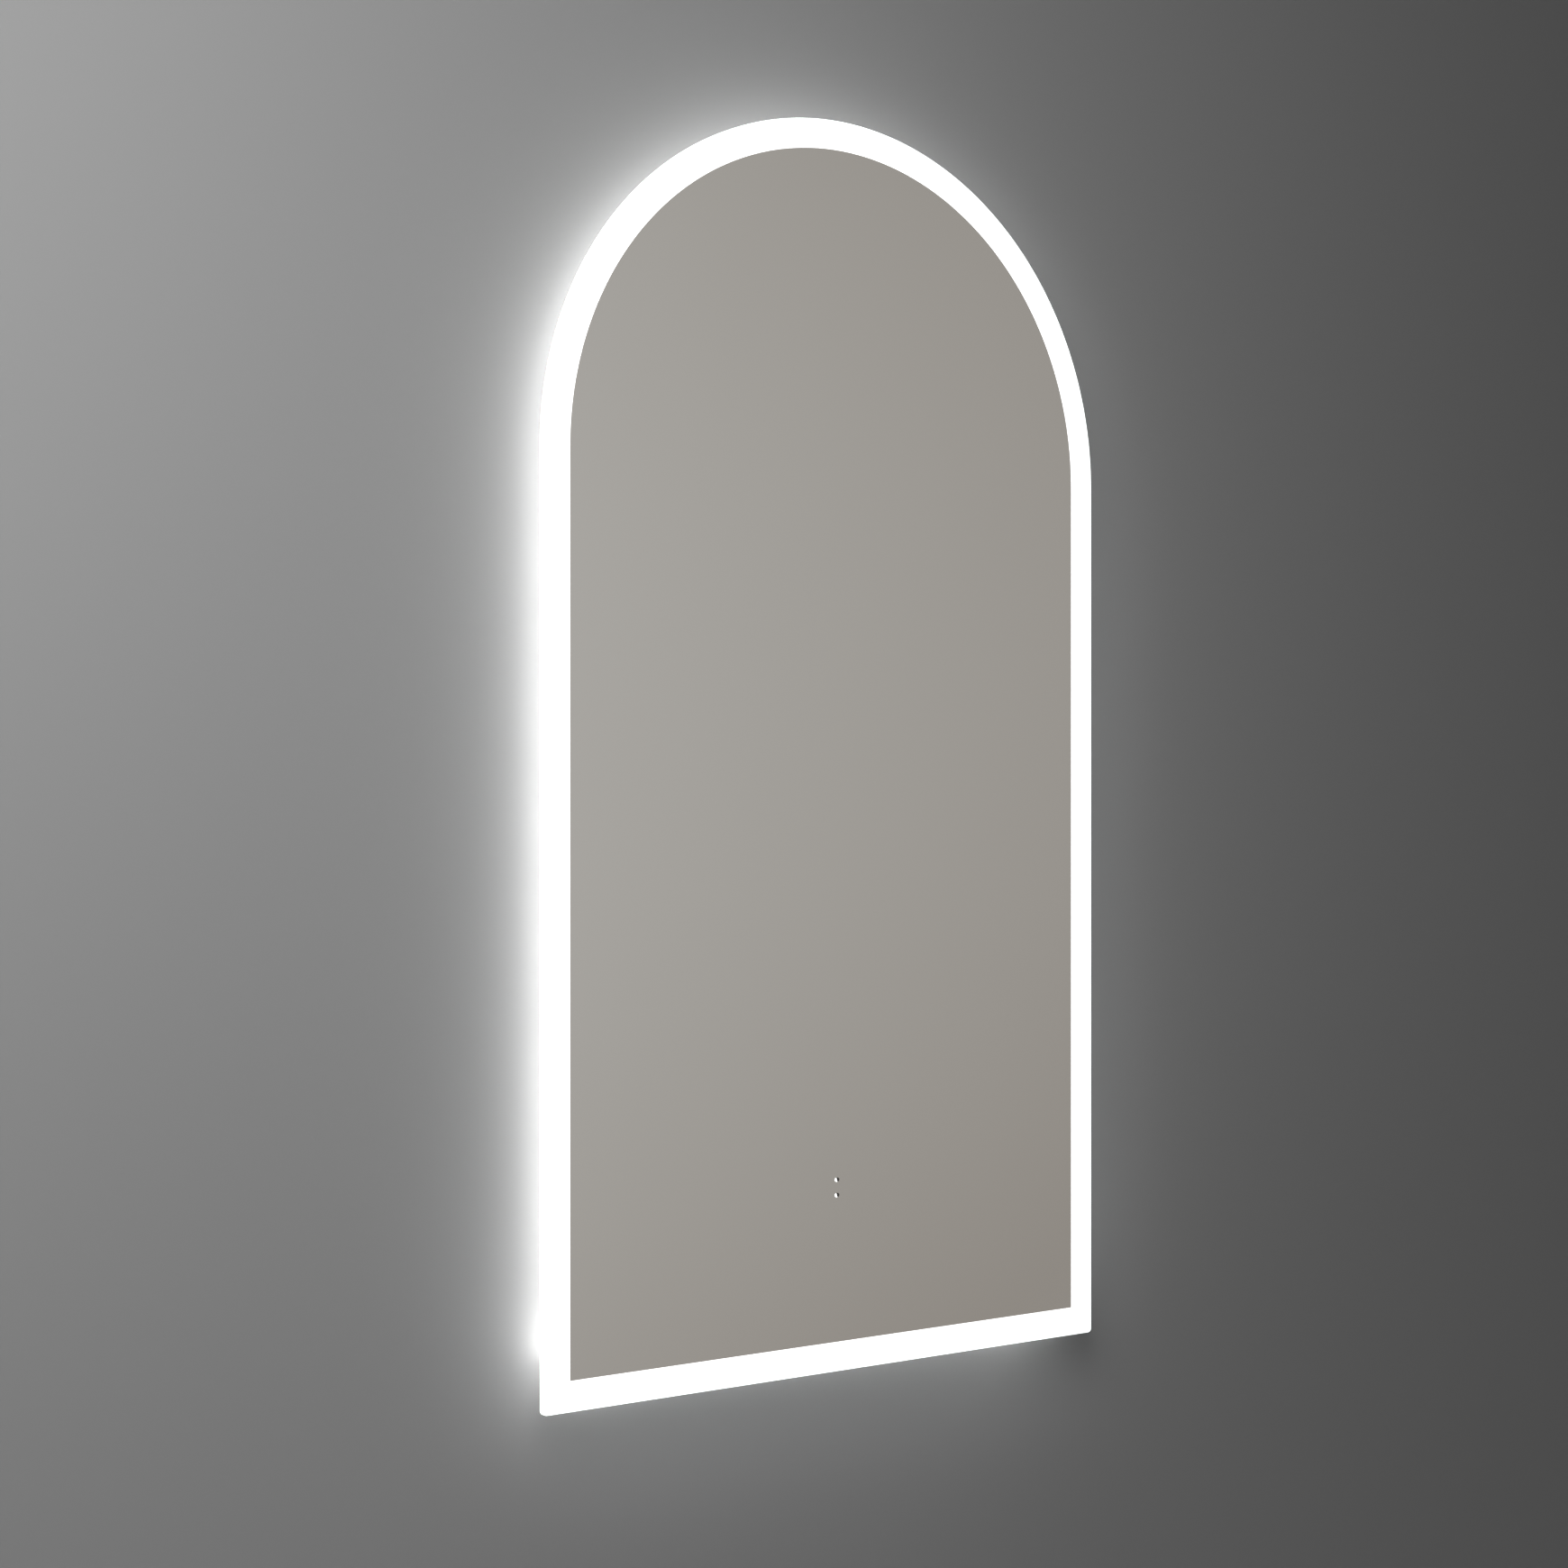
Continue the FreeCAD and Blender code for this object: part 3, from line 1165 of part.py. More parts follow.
def make_sensor():
    wide = "(sensor_width / 2)"
    tall = "(sensor_height / 2)"
    housing = plate("sensor_housing", SENSOR_BACK, "sensor_depth",
                    rounded(f"-{wide}", f"-{tall}", wide, tall, "sensor_corner"), z=SENSOR_HEIGHT)
    cut(housing, "sensor_depth - sensor_wall",
        rounded(f"-{wide} + sensor_wall", f"-{tall} + sensor_wall", f"{wide} - sensor_wall",
                f"{tall} - sensor_wall", "(sensor_corner - sensor_wall)"), start="sensor_wall")
    cut(housing, "sensor_wall", circle("0", f"{SENSOR_BACK} - {LEAD_DEPTH}", LEAD_HOLE),
        plane="XY_Plane", start=f"{tall} - sensor_wall")

    room = "(sensor_wall + board_play)"
    plate("sensor_board", f"({BOARD_FRONT} - board_thickness)", "board_thickness",
          rounded(f"-{wide} + {room}", f"-{tall} + {room}", f"{wide} - {room}", f"{tall} - {room}",
                  f"(sensor_corner - {room})"), z=SENSOR_HEIGHT)
    lenses = new_body("sensor_lenses", depth=BOARD_FRONT, z=SENSOR_HEIGHT)
    middles = [f"{sign}window_pitch / 2" for sign in ("-", "")]
    pad(lenses, "lens_length", *[circle("0", z, "lens_diameter") for z in middles])


# Leads


def make_leads(left, right):
    """Leads between the box, the light, the demister, the sensor and the frame, with what holds them."""
    box_top = "(box_height / 2 - box_drop)"
    block_edge = "(block_height / 2 - box_drop)"
    floor = half(WEB_OUTER)
    inner = half(FRAME_INNER)
    drop_run = f"({SENSOR_HEIGHT} + sensor_height / 2)"
    half_way = f"-(box_width / 2 + {inner}) / 2"
    lead("led_lead", [
        (f"{DRIVER_MIDDLE} - {DRIVER_SIDE}", LEAD_DEPTH, LED_LEAD_OUT),
        (f"{half_way} + led_bend_before", LEAD_DEPTH, LED_LEAD_OUT),
        (f"{half_way} - led_bend_after", LEAD_DEPTH, LED_LEAD_IN),
        (f"-{floor}", LEAD_DEPTH, LED_LEAD_IN),
    ])
    way = f"({BOX_FOOT} - {BAR_TOP})"
    first_bend = f"({BOX_FOOT} - {way} * {FIRST_BEND})"
    second_bend = f"({BOX_FOOT} - {way} * {SECOND_BEND})"
    lead("sensor_lead", [
        (DRIVER_MIDDLE, LEAD_DEPTH, f"-{DRIVER_RIM} - box_drop"),
        (DRIVER_MIDDLE, LEAD_DEPTH, first_bend),
        ("0", LEAD_DEPTH, second_bend),
        ("0", LEAD_DEPTH, f"{drop_run} - sensor_wall - sensor_lead_stop"),
    ])
    lead("demister_lead", [
        (f"{TERMINAL_MIDDLE} - pole_pitch", LEAD_DEPTH, f"{block_edge} - entry_depth + entry_stop"),
        (f"{TERMINAL_MIDDLE} - pole_pitch", LEAD_DEPTH, f"{box_top} + demister_bend"),
        (PATCH_MIDDLE, LEAD_DEPTH, f"{PATCH_LOW} - demister_bend"),
        (PATCH_MIDDLE, LEAD_DEPTH, f"{PATCH_LOW} + entry_depth - entry_stop"),
    ])
    earth = f"({inner} - {EARTH_PLACE})"
    lead("earth_lead", [
        (f"{TERMINAL_MIDDLE} + pole_pitch", LEAD_DEPTH, f"{block_edge} - entry_depth + entry_stop"),
        (f"{TERMINAL_MIDDLE} + pole_pitch", LEAD_DEPTH, f"{box_top} + earth_bend_below"),
        (earth, LEAD_DEPTH, f"{box_top} + earth_bend_above"),
        (earth, LEAD_DEPTH, EARTH_HEIGHT),
    ])

    sleeves = new_body("lead_grommets", depth=LEAD_DEPTH)
    grommet(sleeves, "YZ_Plane", "0", LED_LEAD_OUT, "-box_width / 2", "box_wall", "-")
    grommet(sleeves, "YZ_Plane", "0", LED_LEAD_IN, f"-({inner} + frame_wall)", "frame_wall", "+")
    grommet(sleeves, "XY_Plane", DRIVER_MIDDLE, "0", "-box_height / 2 - box_drop", "box_wall", "-")
    for shift in ("-", "+"):
        grommet(sleeves, "XY_Plane", f"{TERMINAL_MIDDLE} {shift} pole_pitch", "0",
                "box_height / 2 - box_wall - box_drop", "box_wall", "+")
    frame_lead = f"{FRAME_MIDDLE} - {LEAD_DEPTH}"
    cut(left, "frame_wall", circle(frame_lead, LED_LEAD_IN, "grommet_hole"), plane="YZ_Plane",
        start=f"-({inner} + frame_wall)")
    cut(left, "frame_wall", circle(frame_lead, LED_LEAD_IN, LEAD_HOLE), plane="YZ_Plane",
        start=f"-{floor}")

    clips = new_body("lead_clips", depth=FILM_BACK)
    clip(clips, "YZ_Plane", LED_LEAD_OUT, "-(box_width / 2 + side_clip_reach)")
    clip(clips, "XY_Plane", DRIVER_MIDDLE, f"({BOX_FOOT} * 2 + {first_bend}) / 3")
    slant = f"sqrt({DRIVER_MIDDLE} ^ 2 + ({first_bend} - {second_bend}) ^ 2)"
    bend_end = f"({second_bend} - {BEND_SHARE} * {slant})"
    clip(clips, "XY_Plane", "0", f"{bend_end} - ({bend_end} - {BAR_TOP}) * {BAR_CLIP}")
    clip(clips, "XY_Plane", "0", f"{drop_run} + sensor_clip_rise")

    joint = new_body("strip_connector", depth=FRAME_MIDDLE, x=f"-{floor}", z=LED_LEAD_IN)
    edge = "(-strip_width / 2)"
    pad(joint, "connector_height", rectangle(f"{edge} - connector_width", "-connector_length / 2", edge,
                                             "connector_length / 2"), plane="YZ_Plane",
        start="-connector_height")

    ring = new_body("earth_ring", depth=LEAD_DEPTH, x=f"({inner} - ring_thickness)")
    eye_height = f"({EARTH_HEIGHT} + ring_barrel_length + ring_eye / 2)"
    pad(ring, "ring_thickness", circle("0", eye_height, "ring_eye"), plane="YZ_Plane")
    barrel = "(ring_barrel_diameter / 2)"
    pad(ring, "ring_thickness", rectangle(f"-{barrel}", EARTH_HEIGHT, barrel, eye_height), plane="YZ_Plane")
    pad(ring, "ring_barrel_length", circle(f"-{EARTH_PLACE} + ring_thickness", "0", "ring_barrel_diameter"),
        plane="XY_Plane", start=EARTH_HEIGHT)
    cut(ring, "through", circle("0", eye_height, SCREW_HOLE), plane="YZ_Plane")

    screw = new_body("earth_screw", depth=LEAD_DEPTH, x=f"({inner} - ring_thickness)", z=eye_height)
    pad(screw, "screw_head_height", circle("0", "0", "screw_head_diameter"), plane="YZ_Plane",
        start="-screw_head_height")
    pad(screw, "screw_length", circle("0", "0", "screw_diameter"), plane="YZ_Plane")
    cut(screw, "recess_depth", cross("0", "0", "recess_span", "recess_width"), plane="YZ_Plane",
        start="-screw_head_height")
    cut(right, "frame_wall", circle(frame_lead, eye_height, SCREW_HOLE),
        plane="YZ_Plane", start=inner)


def check_and_write():
    """Stop at the first feature that failed or cut nothing, and write each sub-part to its own file."""
    doc.recompute()
    for item in doc.Objects:
        if {"Invalid", "Error"} & set(item.State):
            raise RuntimeError(f"{item.Label} of {item.Name} failed: {item.State}")
        if item.TypeId == "PartDesign::Pocket" and item.Shape.Volume >= item.BaseFeature.Shape.Volume - 1e-6:
            raise RuntimeError(f"{item.Name} cuts nothing")
    os.makedirs("parts", exist_ok=True)
    for part in sub_parts:
        shape = part.Shape
        if shape.isNull() or not shape.isValid():
            raise RuntimeError(f"{part.Label} has no valid shape")
        shape.exportStep(f"parts/{part.Label}.step")
        box = shape.BoundBox
        low, high = (box.XMin, box.YMin, box.ZMin), (box.XMax, box.YMax, box.ZMax)
        spans = ", ".join(f"{axis} {a:.2f} {b:.2f}" for axis, a, b in zip("xyz", low, high))
        print(f"{part.Label}: {len(shape.Solids)} solids, {shape.Volume:.1f} mm3, {spans}")


make_glass()
left_leg, right_leg, screw_places, bumper_column = make_frame()
make_keys(screw_places)
make_bumpers(bumper_column)
make_light()
make_rail()
make_bars()
make_box()
make_terminal_cover()
make_driver()
make_gland()
make_demister()
make_sensor()
make_leads(left_leg, right_leg)
check_and_write()
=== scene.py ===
"""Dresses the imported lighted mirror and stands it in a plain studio.

Lengths are metres in the part's own frame: X to the right, Y into the wall, Z up. The wall is the plane
y = 0 and the origin is the middle of the wall rail's two slots.
"""
import logging
import math
from dataclasses import dataclass, field
from enum import Enum
from typing import Callable, ClassVar, Optional, Sequence

import bmesh
import bpy
import numpy as np
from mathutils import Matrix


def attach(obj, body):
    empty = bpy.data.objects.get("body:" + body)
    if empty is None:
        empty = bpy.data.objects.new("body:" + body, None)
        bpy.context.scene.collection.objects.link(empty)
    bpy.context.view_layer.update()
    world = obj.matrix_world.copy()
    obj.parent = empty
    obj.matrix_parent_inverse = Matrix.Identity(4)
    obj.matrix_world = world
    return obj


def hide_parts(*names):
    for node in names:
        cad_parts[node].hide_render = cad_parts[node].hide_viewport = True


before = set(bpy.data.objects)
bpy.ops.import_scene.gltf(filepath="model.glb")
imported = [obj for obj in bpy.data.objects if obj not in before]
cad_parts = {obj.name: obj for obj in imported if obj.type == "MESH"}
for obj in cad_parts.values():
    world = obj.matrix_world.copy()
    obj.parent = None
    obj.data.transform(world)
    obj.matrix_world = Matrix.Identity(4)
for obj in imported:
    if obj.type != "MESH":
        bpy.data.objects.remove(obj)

Socket = bpy.types.NodeSocket
Pair = tuple[float, float]
Colour = tuple[float, float, float]
Place = tuple[float, float, float]

LOG = logging.getLogger("mirror")
SAME_POINT = 1e-6  # corners that round to the same whole number of these are one vertex
PALE = (0.80, 0.80, 0.79, 1.0)  # what the camera sees where there is no wall


# ---------- shader graphs and shared effects


class Graph:
    """Lays shader nodes into one tree and joins their sockets."""

    def __init__(self, tree: bpy.types.NodeTree) -> None:
        """Keeps the tree that the nodes go into."""
        self.tree = tree

    def feed(self, socket: Socket, value: object) -> None:
        """Gives an input its value.

        Args:
            socket: The input socket.
            value: A plain value, or the output socket that is joined to it.
        """
        if isinstance(value, Socket):
            self.tree.links.new(value, socket)
        else:
            socket.default_value = value

    def add(self, kind: str, inputs: Optional[dict] = None, **settings: object) -> bpy.types.Node:
        """Lays one node.

        Args:
            kind: The node's type without its usual head.
            inputs: Socket name or number, to the value or the output socket that it takes.
            settings: Properties of the node itself, set before its sockets.

        Returns:
            The node.
        """
        node = self.tree.nodes.new("ShaderNode" + kind)
        for name, value in settings.items():
            setattr(node, name, value)
        for name, value in (inputs or {}).items():
            self.feed(node.inputs[name], value)
        return node

    def sum(self, operation: str, a: object, b: object = 0.0, c: object = 0.0) -> Socket:
        """Works out one Math operation on up to three values and returns its socket."""
        return self.add("Math", {0: a, 1: b, 2: c}, operation=operation).outputs[0]

    def place(self) -> Socket:
        """Returns the Object coordinates, which are the part's own frame."""
        return self.add("TexCoord").outputs["Object"]

    def apart(self, vector: object) -> list[Socket]:
        """Splits a vector into its three values."""
        return list(self.add("SeparateXYZ", {0: vector}).outputs)

    def vector(self, x: object, y: object, z: object) -> Socket:
        """Joins three values into a vector."""
        return self.add("CombineXYZ", {0: x, 1: y, 2: z}).outputs[0]

    def noise(self, vector: object, scale: object, detail: float) -> Socket:
        """Returns soft noise from 0 to 1 at a scale in repeats per metre."""
        return self.add("TexNoise", {"Vector": vector, "Scale": scale, "Detail": detail}).outputs["Fac"]

    def span(self, value: object, low: object, high: object, start: object = 0.0, end: object = 1.0,
             smooth: bool = False) -> Socket:
        """Carries a value from one range to another and holds it inside.

        Args:
            value: The value to carry.
            low: Where the first range starts.
            high: Where the first range ends.
            start: What low becomes.
            end: What high becomes.
            smooth: Eases in and out of the ends.

        Returns:
            The carried value's socket.
        """
        kind = "SMOOTHSTEP" if smooth else "LINEAR"
        inputs = {"Value": value, "From Min": low, "From Max": high, "To Min": start, "To Max": end}
        return self.add("MapRange", inputs, interpolation_type=kind).outputs["Result"]

    def tint(self, mask: object, first: object, second: object) -> Socket:
        """Returns the first colour where the mask is 0 and the second where it is 1."""
        return self.add("Mix", {0: mask, 6: first, 7: second}, data_type="RGBA").outputs[2]

    def times(self, value: object, by: object) -> Socket:
        """Returns one value times another."""
        return self.sum("MULTIPLY", value, by)

    def relief(self, height: object, depth: float) -> Socket:
        """Returns the normal of a surface whose height from 0 to 1 stands for a depth in metres."""
        return self.add("Bump", {"Height": height, "Distance": depth, "Strength": 1.0}).outputs["Normal"]

    def effect(self, shared: "Effect", **inputs: object) -> bpy.types.Node:
        """Places a shared effect.

        Args:
            shared: The effect.
            inputs: Its values here, by the names of its inputs.

        Returns:
            The group's node.
        """
        node = self.tree.nodes.new("ShaderNodeGroup")
        node.node_tree = shared.tree()
        for name, value in inputs.items():
            self.feed(node.inputs[name], value)
        return node


@dataclass(frozen=True)
class Effect:
    """A shader node group that several finishes use."""

    name: str  # the group's name
    inputs: tuple[str, ...]  # names of the inputs. Vector is a vector and the rest are numbers
    outputs: tuple[str, ...]  # names of the outputs, all numbers
    # lays the nodes, from the graph and the input sockets, and returns the output sockets in order
    lay: Callable[[Graph, dict], Sequence[Socket]]

    def tree(self) -> bpy.types.NodeTree:
        """Builds the group's tree the first time it is asked for.

        Returns:
            The tree.
        """
        made = bpy.data.node_groups.get(self.name)
        if made is None:
            made = bpy.data.node_groups.new(self.name, "ShaderNodeTree")
            for name in self.inputs + self.outputs:
                way = "INPUT" if name in self.inputs else "OUTPUT"
                kind = "NodeSocketVector" if name == "Vector" else "NodeSocketFloat"
                made.interface.new_socket(name, in_out=way, socket_type=kind)
            entry = made.nodes.new("NodeGroupInput")
            leave = made.nodes.new("NodeGroupOutput")
            results = self.lay(Graph(made), {name: entry.outputs[name] for name in self.inputs})
            for name, socket in zip(self.outputs, results):
                made.links.new(socket, leave.inputs[name])
        return made


def lay_grain(graph: Graph, given: dict) -> Sequence[Socket]:
    """Moulded grain: cell pits and fine noise in equal shares, and a broad slow unevenness of tone.

    Args:
        graph: The group's graph.
        given: Vector and Scale, the cells in a metre.

    Returns:
        Height and tone.
    """
    finer, broader, share = 2.3, 0.02, 0.6
    place, scale = given["Vector"], given["Scale"]
    cells = graph.add("TexVoronoi", {"Vector": place, "Scale": scale}).outputs["Distance"]
    fine = graph.noise(place, graph.times(scale, finer), detail=2.0)
    height = graph.sum("ADD", graph.times(cells, share), graph.times(fine, share))
    return height, graph.noise(place, graph.times(scale, broader), detail=4.0)


def lay_lines(graph: Graph, given: dict) -> Sequence[Socket]:
    """Drawn lines: noise that is fine across the run (X and Y) and stretched a hundredfold along it (Z).

    Args:
        graph: The group's graph.
        given: Vector and Density, the lines in a metre.

    Returns:
        Height, and a tone that is half fine lines and half broad ones.
    """
    along, broader, half = 0.01, 0.12, 0.5
    x, y, z = graph.apart(given["Vector"])
    drawn = graph.vector(x, y, graph.times(z, along))
    fine = graph.noise(drawn, given["Density"], detail=4.0)
    broad = graph.noise(drawn, graph.times(given["Density"], broader), detail=3.0)
    return fine, graph.sum("ADD", graph.times(fine, half), graph.times(broad, half))


def lay_handling(graph: Graph, given: dict) -> Sequence[Socket]:
    """Handling marks: soft blotches and weaker small smears that dull a surface, times the amount given.

    Args:
        graph: The group's graph.
        given: Vector, Scale, the blotches in a metre, and Amount.

    Returns:
        The dulling.
    """
    smaller, blotched, smeared, weaker = 6.0, (0.42, 0.72), (0.5, 0.9), 0.4
    blotch = graph.noise(given["Vector"], given["Scale"], detail=5.0)
    smear = graph.noise(given["Vector"], graph.times(given["Scale"], smaller), detail=3.0)
    both = graph.sum("ADD", graph.span(blotch, *blotched), graph.span(smear, *smeared, 0.0, weaker))
    return (graph.times(both, given["Amount"]),)


def lay_flowers(graph: Graph, given: dict) -> Sequence[Socket]:
    """Zinc crystals: one tone for each warped cell, feathered by noise, and a line where two cells meet.

    Args:
        graph: The group's graph.
        given: Vector and Scale, the crystals in a metre.

    Returns:
        Tone, and 1 on the line falling to 0 beside it.
    """
    warps, warp_by, feathers, tone_share, line = 1.7, 0.004, 5.0, 0.75, 0.08
    scale = given["Scale"]
    warp = graph.add("TexNoise", {"Vector": given["Vector"], "Scale": graph.times(scale, warps)})
    moved = graph.add("VectorMath", {0: warp.outputs["Color"], "Scale": warp_by}, operation="SCALE")
    place = graph.add("VectorMath", {0: given["Vector"], 1: moved.outputs[0]}, operation="ADD").outputs[0]
    cell = graph.add("TexVoronoi", {"Vector": place, "Scale": scale})
    edge = graph.add("TexVoronoi", {"Vector": place, "Scale": scale}, feature="DISTANCE_TO_EDGE")
    tone = graph.times(graph.apart(cell.outputs["Color"])[0], tone_share)
    feather = graph.noise(place, graph.times(scale, feathers), detail=4.0)
    mixed = graph.sum("ADD", tone, graph.times(feather, 1.0 - tone_share))
    return mixed, graph.span(edge.outputs["Distance"], 0.0, line, 1.0, 0.0)


GRAIN = Effect("Moulded grain", ("Vector", "Scale"), ("Height", "Tone"), lay_grain)
LINES = Effect("Drawn lines", ("Vector", "Density"), ("Height", "Tone"), lay_lines)
HANDLING = Effect("Handling marks", ("Vector", "Scale", "Amount"), ("Dulling",), lay_handling)
FLOWERS = Effect("Zinc crystals", ("Vector", "Scale"), ("Tone", "Edge"), lay_flowers)


# ---------- finishes


class Run(Enum):
    """The way that an extruded bar runs."""

    UPRIGHT = "upright"
    LEVEL = "level"
    ARCHED = "arched"


def shade(colour: Sequence[float], by: float) -> tuple[float, float, float, float]:
    """Returns a colour with its light scaled, ready for a colour socket."""
    return tuple(min(1.0, part * by) for part in colour[:3]) + (1.0,)


@dataclass(frozen=True)
class Finish:
    """What every finish has: its name, colour and gloss."""

    name: str
    colour: Colour  # linear red, green and blue
    roughness: float  # roughness of the clean surface
    plain: ClassVar[dict] = {}  # shader inputs that stay the same all over

    def material(self) -> bpy.types.Material:
        """Builds the finish's material the first time it is asked for.

        Returns:
            The material.
        """
        made = bpy.data.materials.get(self.name)
        if made is None:
            made = bpy.data.materials.new(self.name)
            made.use_nodes = True
            graph = Graph(made.node_tree)
            shader = made.node_tree.nodes["Principled BSDF"]
            graph.feed(shader.inputs["Base Color"], shade(self.colour, 1.0))
            graph.feed(shader.inputs["Roughness"], self.roughness)
            for name, value in (self.plain | self.pattern(graph)).items():
                graph.feed(shader.inputs[name], value)
        return made

    def pattern(self, graph: Graph) -> dict:
        """Lays what makes the surface its own and returns it as shader input name to value."""
        raise NotImplementedError


@dataclass(frozen=True)
class Worn(Finish):
    """A finish with a texture of tone and height, dulled by handling. The texture is moulded grain."""

    grains: float = 1400.0  # grains, lines or crystals in a metre
    depth: float = 0.00004  # depth of the relief
    marks: float = 0.08  # how much handling dulls it
    blotches: ClassVar[float] = 22.0  # blotches of handling in a metre
    spread: ClassVar[Pair] = (0.3, 0.7)  # the texture's tone where the colour starts to change, and ends
    tones: ClassVar[Pair] = (0.93, 1.04)  # what the colour is times there
    gloss_spread: ClassVar[Pair] = (0.0, 1.0)  # the same for the gloss
    rough: ClassVar[Pair] = (0.0, 0.0)  # what is added to the roughness there

    def texture(self, graph: Graph) -> tuple[Socket, Socket]:
        """Returns tone and height of the grain."""
        grain = graph.effect(GRAIN, Vector=graph.place(), Scale=self.grains).outputs
        return grain["Tone"], grain["Height"]

    def pattern(self, graph: Graph) -> dict:
        """Tone in the colour and the gloss, height in the relief, and blotches in the gloss.

        Args:
            graph: The material's graph.

        Returns:
            Shader input name to value.
        """
        tone, height = self.texture(graph)
        marks = graph.effect(HANDLING, Vector=graph.place(), Scale=self.blotches, Amount=self.marks)
        clean = graph.span(tone, *self.gloss_spread, *(self.roughness + more for more in self.rough))
        share = graph.span(tone, *self.spread)
        return {
            "Base Color": graph.tint(share, *(shade(self.colour, by) for by in self.tones)),
            "Roughness": graph.sum("ADD", clean, marks.outputs["Dulling"]),
            "Normal": graph.relief(height, self.depth),
        }


@dataclass(frozen=True)
class Moulded(Worn):
    """Moulded plastic or rubber: a fine grain, a slow unevenness of tone and a little handling."""

    plain = {"IOR": 1.49}


@dataclass(frozen=True)
class Extruded(Worn):
    """Satin anodised aluminium with the fine lines that the die leaves along the bar."""

    grains: float = 2600.0
    depth: float = 0.000015
    marks: float = 0.10
    run: Run = Run.UPRIGHT  # which way the bar runs
    spring: float = 0.04  # height of the arch's centre
    radius: float = 0.21  # length along the arch for one radian
    blotches = 14.0
    spread = (0.35, 0.65)
    tones = (0.90, 1.06)
    gloss_spread = (0.3, 0.7)
    rough = (-0.05, 0.07)
    plain = {"Metallic": 1.0}

    def texture(self, graph: Graph) -> tuple[Socket, Socket]:
        """Lines along the run. Across it lies X, Z, or the distance from the arch's centre.

        Args:
            graph: The material's graph.

        Returns:
            Tone and height.
        """
        x, y, z = graph.apart(graph.place())
        rise = graph.sum("SUBTRACT", z, self.spring)
        out = graph.sum("SQRT", graph.sum("MULTIPLY_ADD", x, x, graph.times(rise, rise)))
        turned = graph.times(graph.sum("ARCTAN2", rise, x), self.radius)
        across, along = {Run.UPRIGHT: (x, z), Run.LEVEL: (z, x), Run.ARCHED: (out, turned)}[self.run]
        lines = graph.effect(LINES, Vector=graph.vector(across, y, along), Density=self.grains).outputs
        return lines["Tone"], lines["Height"]


@dataclass(frozen=True)
class Galvanised(Worn):
    """Galvanised sheet steel with zinc crystals a few millimetres across."""

    grains: float = 130.0
    depth: float = 0.00003
    marks: float = 0.14
    seam: Pair = (0.25, 0.6)  # strength of the line between crystals, and what the colour is times on it
    blotches = 18.0
    spread = (0.0, 1.0)
    tones = (0.72, 1.12)
    rough = (0.12, -0.08)
    plain = {"Metallic": 1.0}

    def texture(self, graph: Graph) -> tuple[Socket, Socket]:
        """Returns each crystal's own tone, which is its height too."""
        tone = graph.effect(FLOWERS, Vector=graph.place(), Scale=self.grains).outputs["Tone"]
        return tone, tone

    def pattern(self, graph: Graph) -> dict:
        """The crystals, with a faint line between them.

        Args:
            graph: The material's graph.

        Returns:
            Shader input name to value.
        """
        laid = super().pattern(graph)
        edge = graph.effect(FLOWERS, Vector=graph.place(), Scale=self.grains).outputs["Edge"]
        lined = graph.times(edge, self.seam[0])
        laid["Base Color"] = graph.tint(lined, laid["Base Color"], shade(self.colour, self.seam[1]))
        return laid


@dataclass(frozen=True)
class Plated(Worn):
    """Small turned or cast metal, with a bloom that darkens and dulls it in patches."""

    grains: float = 1800.0
    depth: float = 0.00001
    marks: float = 0.0
    patches: float = 160.0  # patches of bloom in a metre
    bloom: float = 0.5  # how strong the bloom is
    spread = (0.0, 1.0)
    tones = (1.05, 0.66)
    rough = (0.0, 0.25)
    plain = {"Metallic": 1.0}

    def texture(self, graph: Graph) -> tuple[Socket, Socket]:
        """Returns the bloom, and the height of a faint cast or tumbled grain."""
        bloom = graph.effect(HANDLING, Vector=graph.place(), Scale=self.patches, Amount=self.bloom)
        return bloom.outputs["Dulling"], super().texture(graph)[1]


@dataclass(frozen=True)
class Film(Worn):
    """Thin film laid on the glass, with orange peel and a few long ripples."""

    grains: float = 900.0
    depth: float = 0.0011
    marks: float = 0.12
    ripples: float = 26.0  # ripples in a metre across
    drawn: float = 0.22  # what height is times, so that the ripples are long
    shares: Pair = (0.85, 0.04)  # shares of ripples and orange peel in the relief
    streaks: float = 170.0  # rolled streaks in a metre
    clouds: float = 5.0  # clouds of tone in a metre
    blotches = 7.0
    spread = (0.75, 1.25)
    tones = (0.90, 1.07)
    plain = {"IOR": 1.46}

    def texture(self, graph: Graph) -> tuple[Socket, Socket]:
        """Orange peel from noise, ripples from noise stretched upright, rolled streaks and clouds of tone.

        Args:
            graph: The material's graph.

        Returns:
            Tone and height.
        """
        place = graph.place()
        x, y, z = graph.apart(place)
        ripple = graph.noise(graph.vector(x, y, graph.times(z, self.drawn)), self.ripples, detail=2.0)
        peel = graph.noise(place, self.grains, detail=2.0)
        parts = [graph.times(part, share) for part, share in zip((ripple, peel), self.shares)]
        streaks = graph.effect(LINES, Vector=place, Density=self.streaks).outputs["Tone"]
        cloud = graph.noise(place, self.clouds, detail=4.0)
        return graph.sum("ADD", streaks, cloud), graph.sum("ADD", *parts)


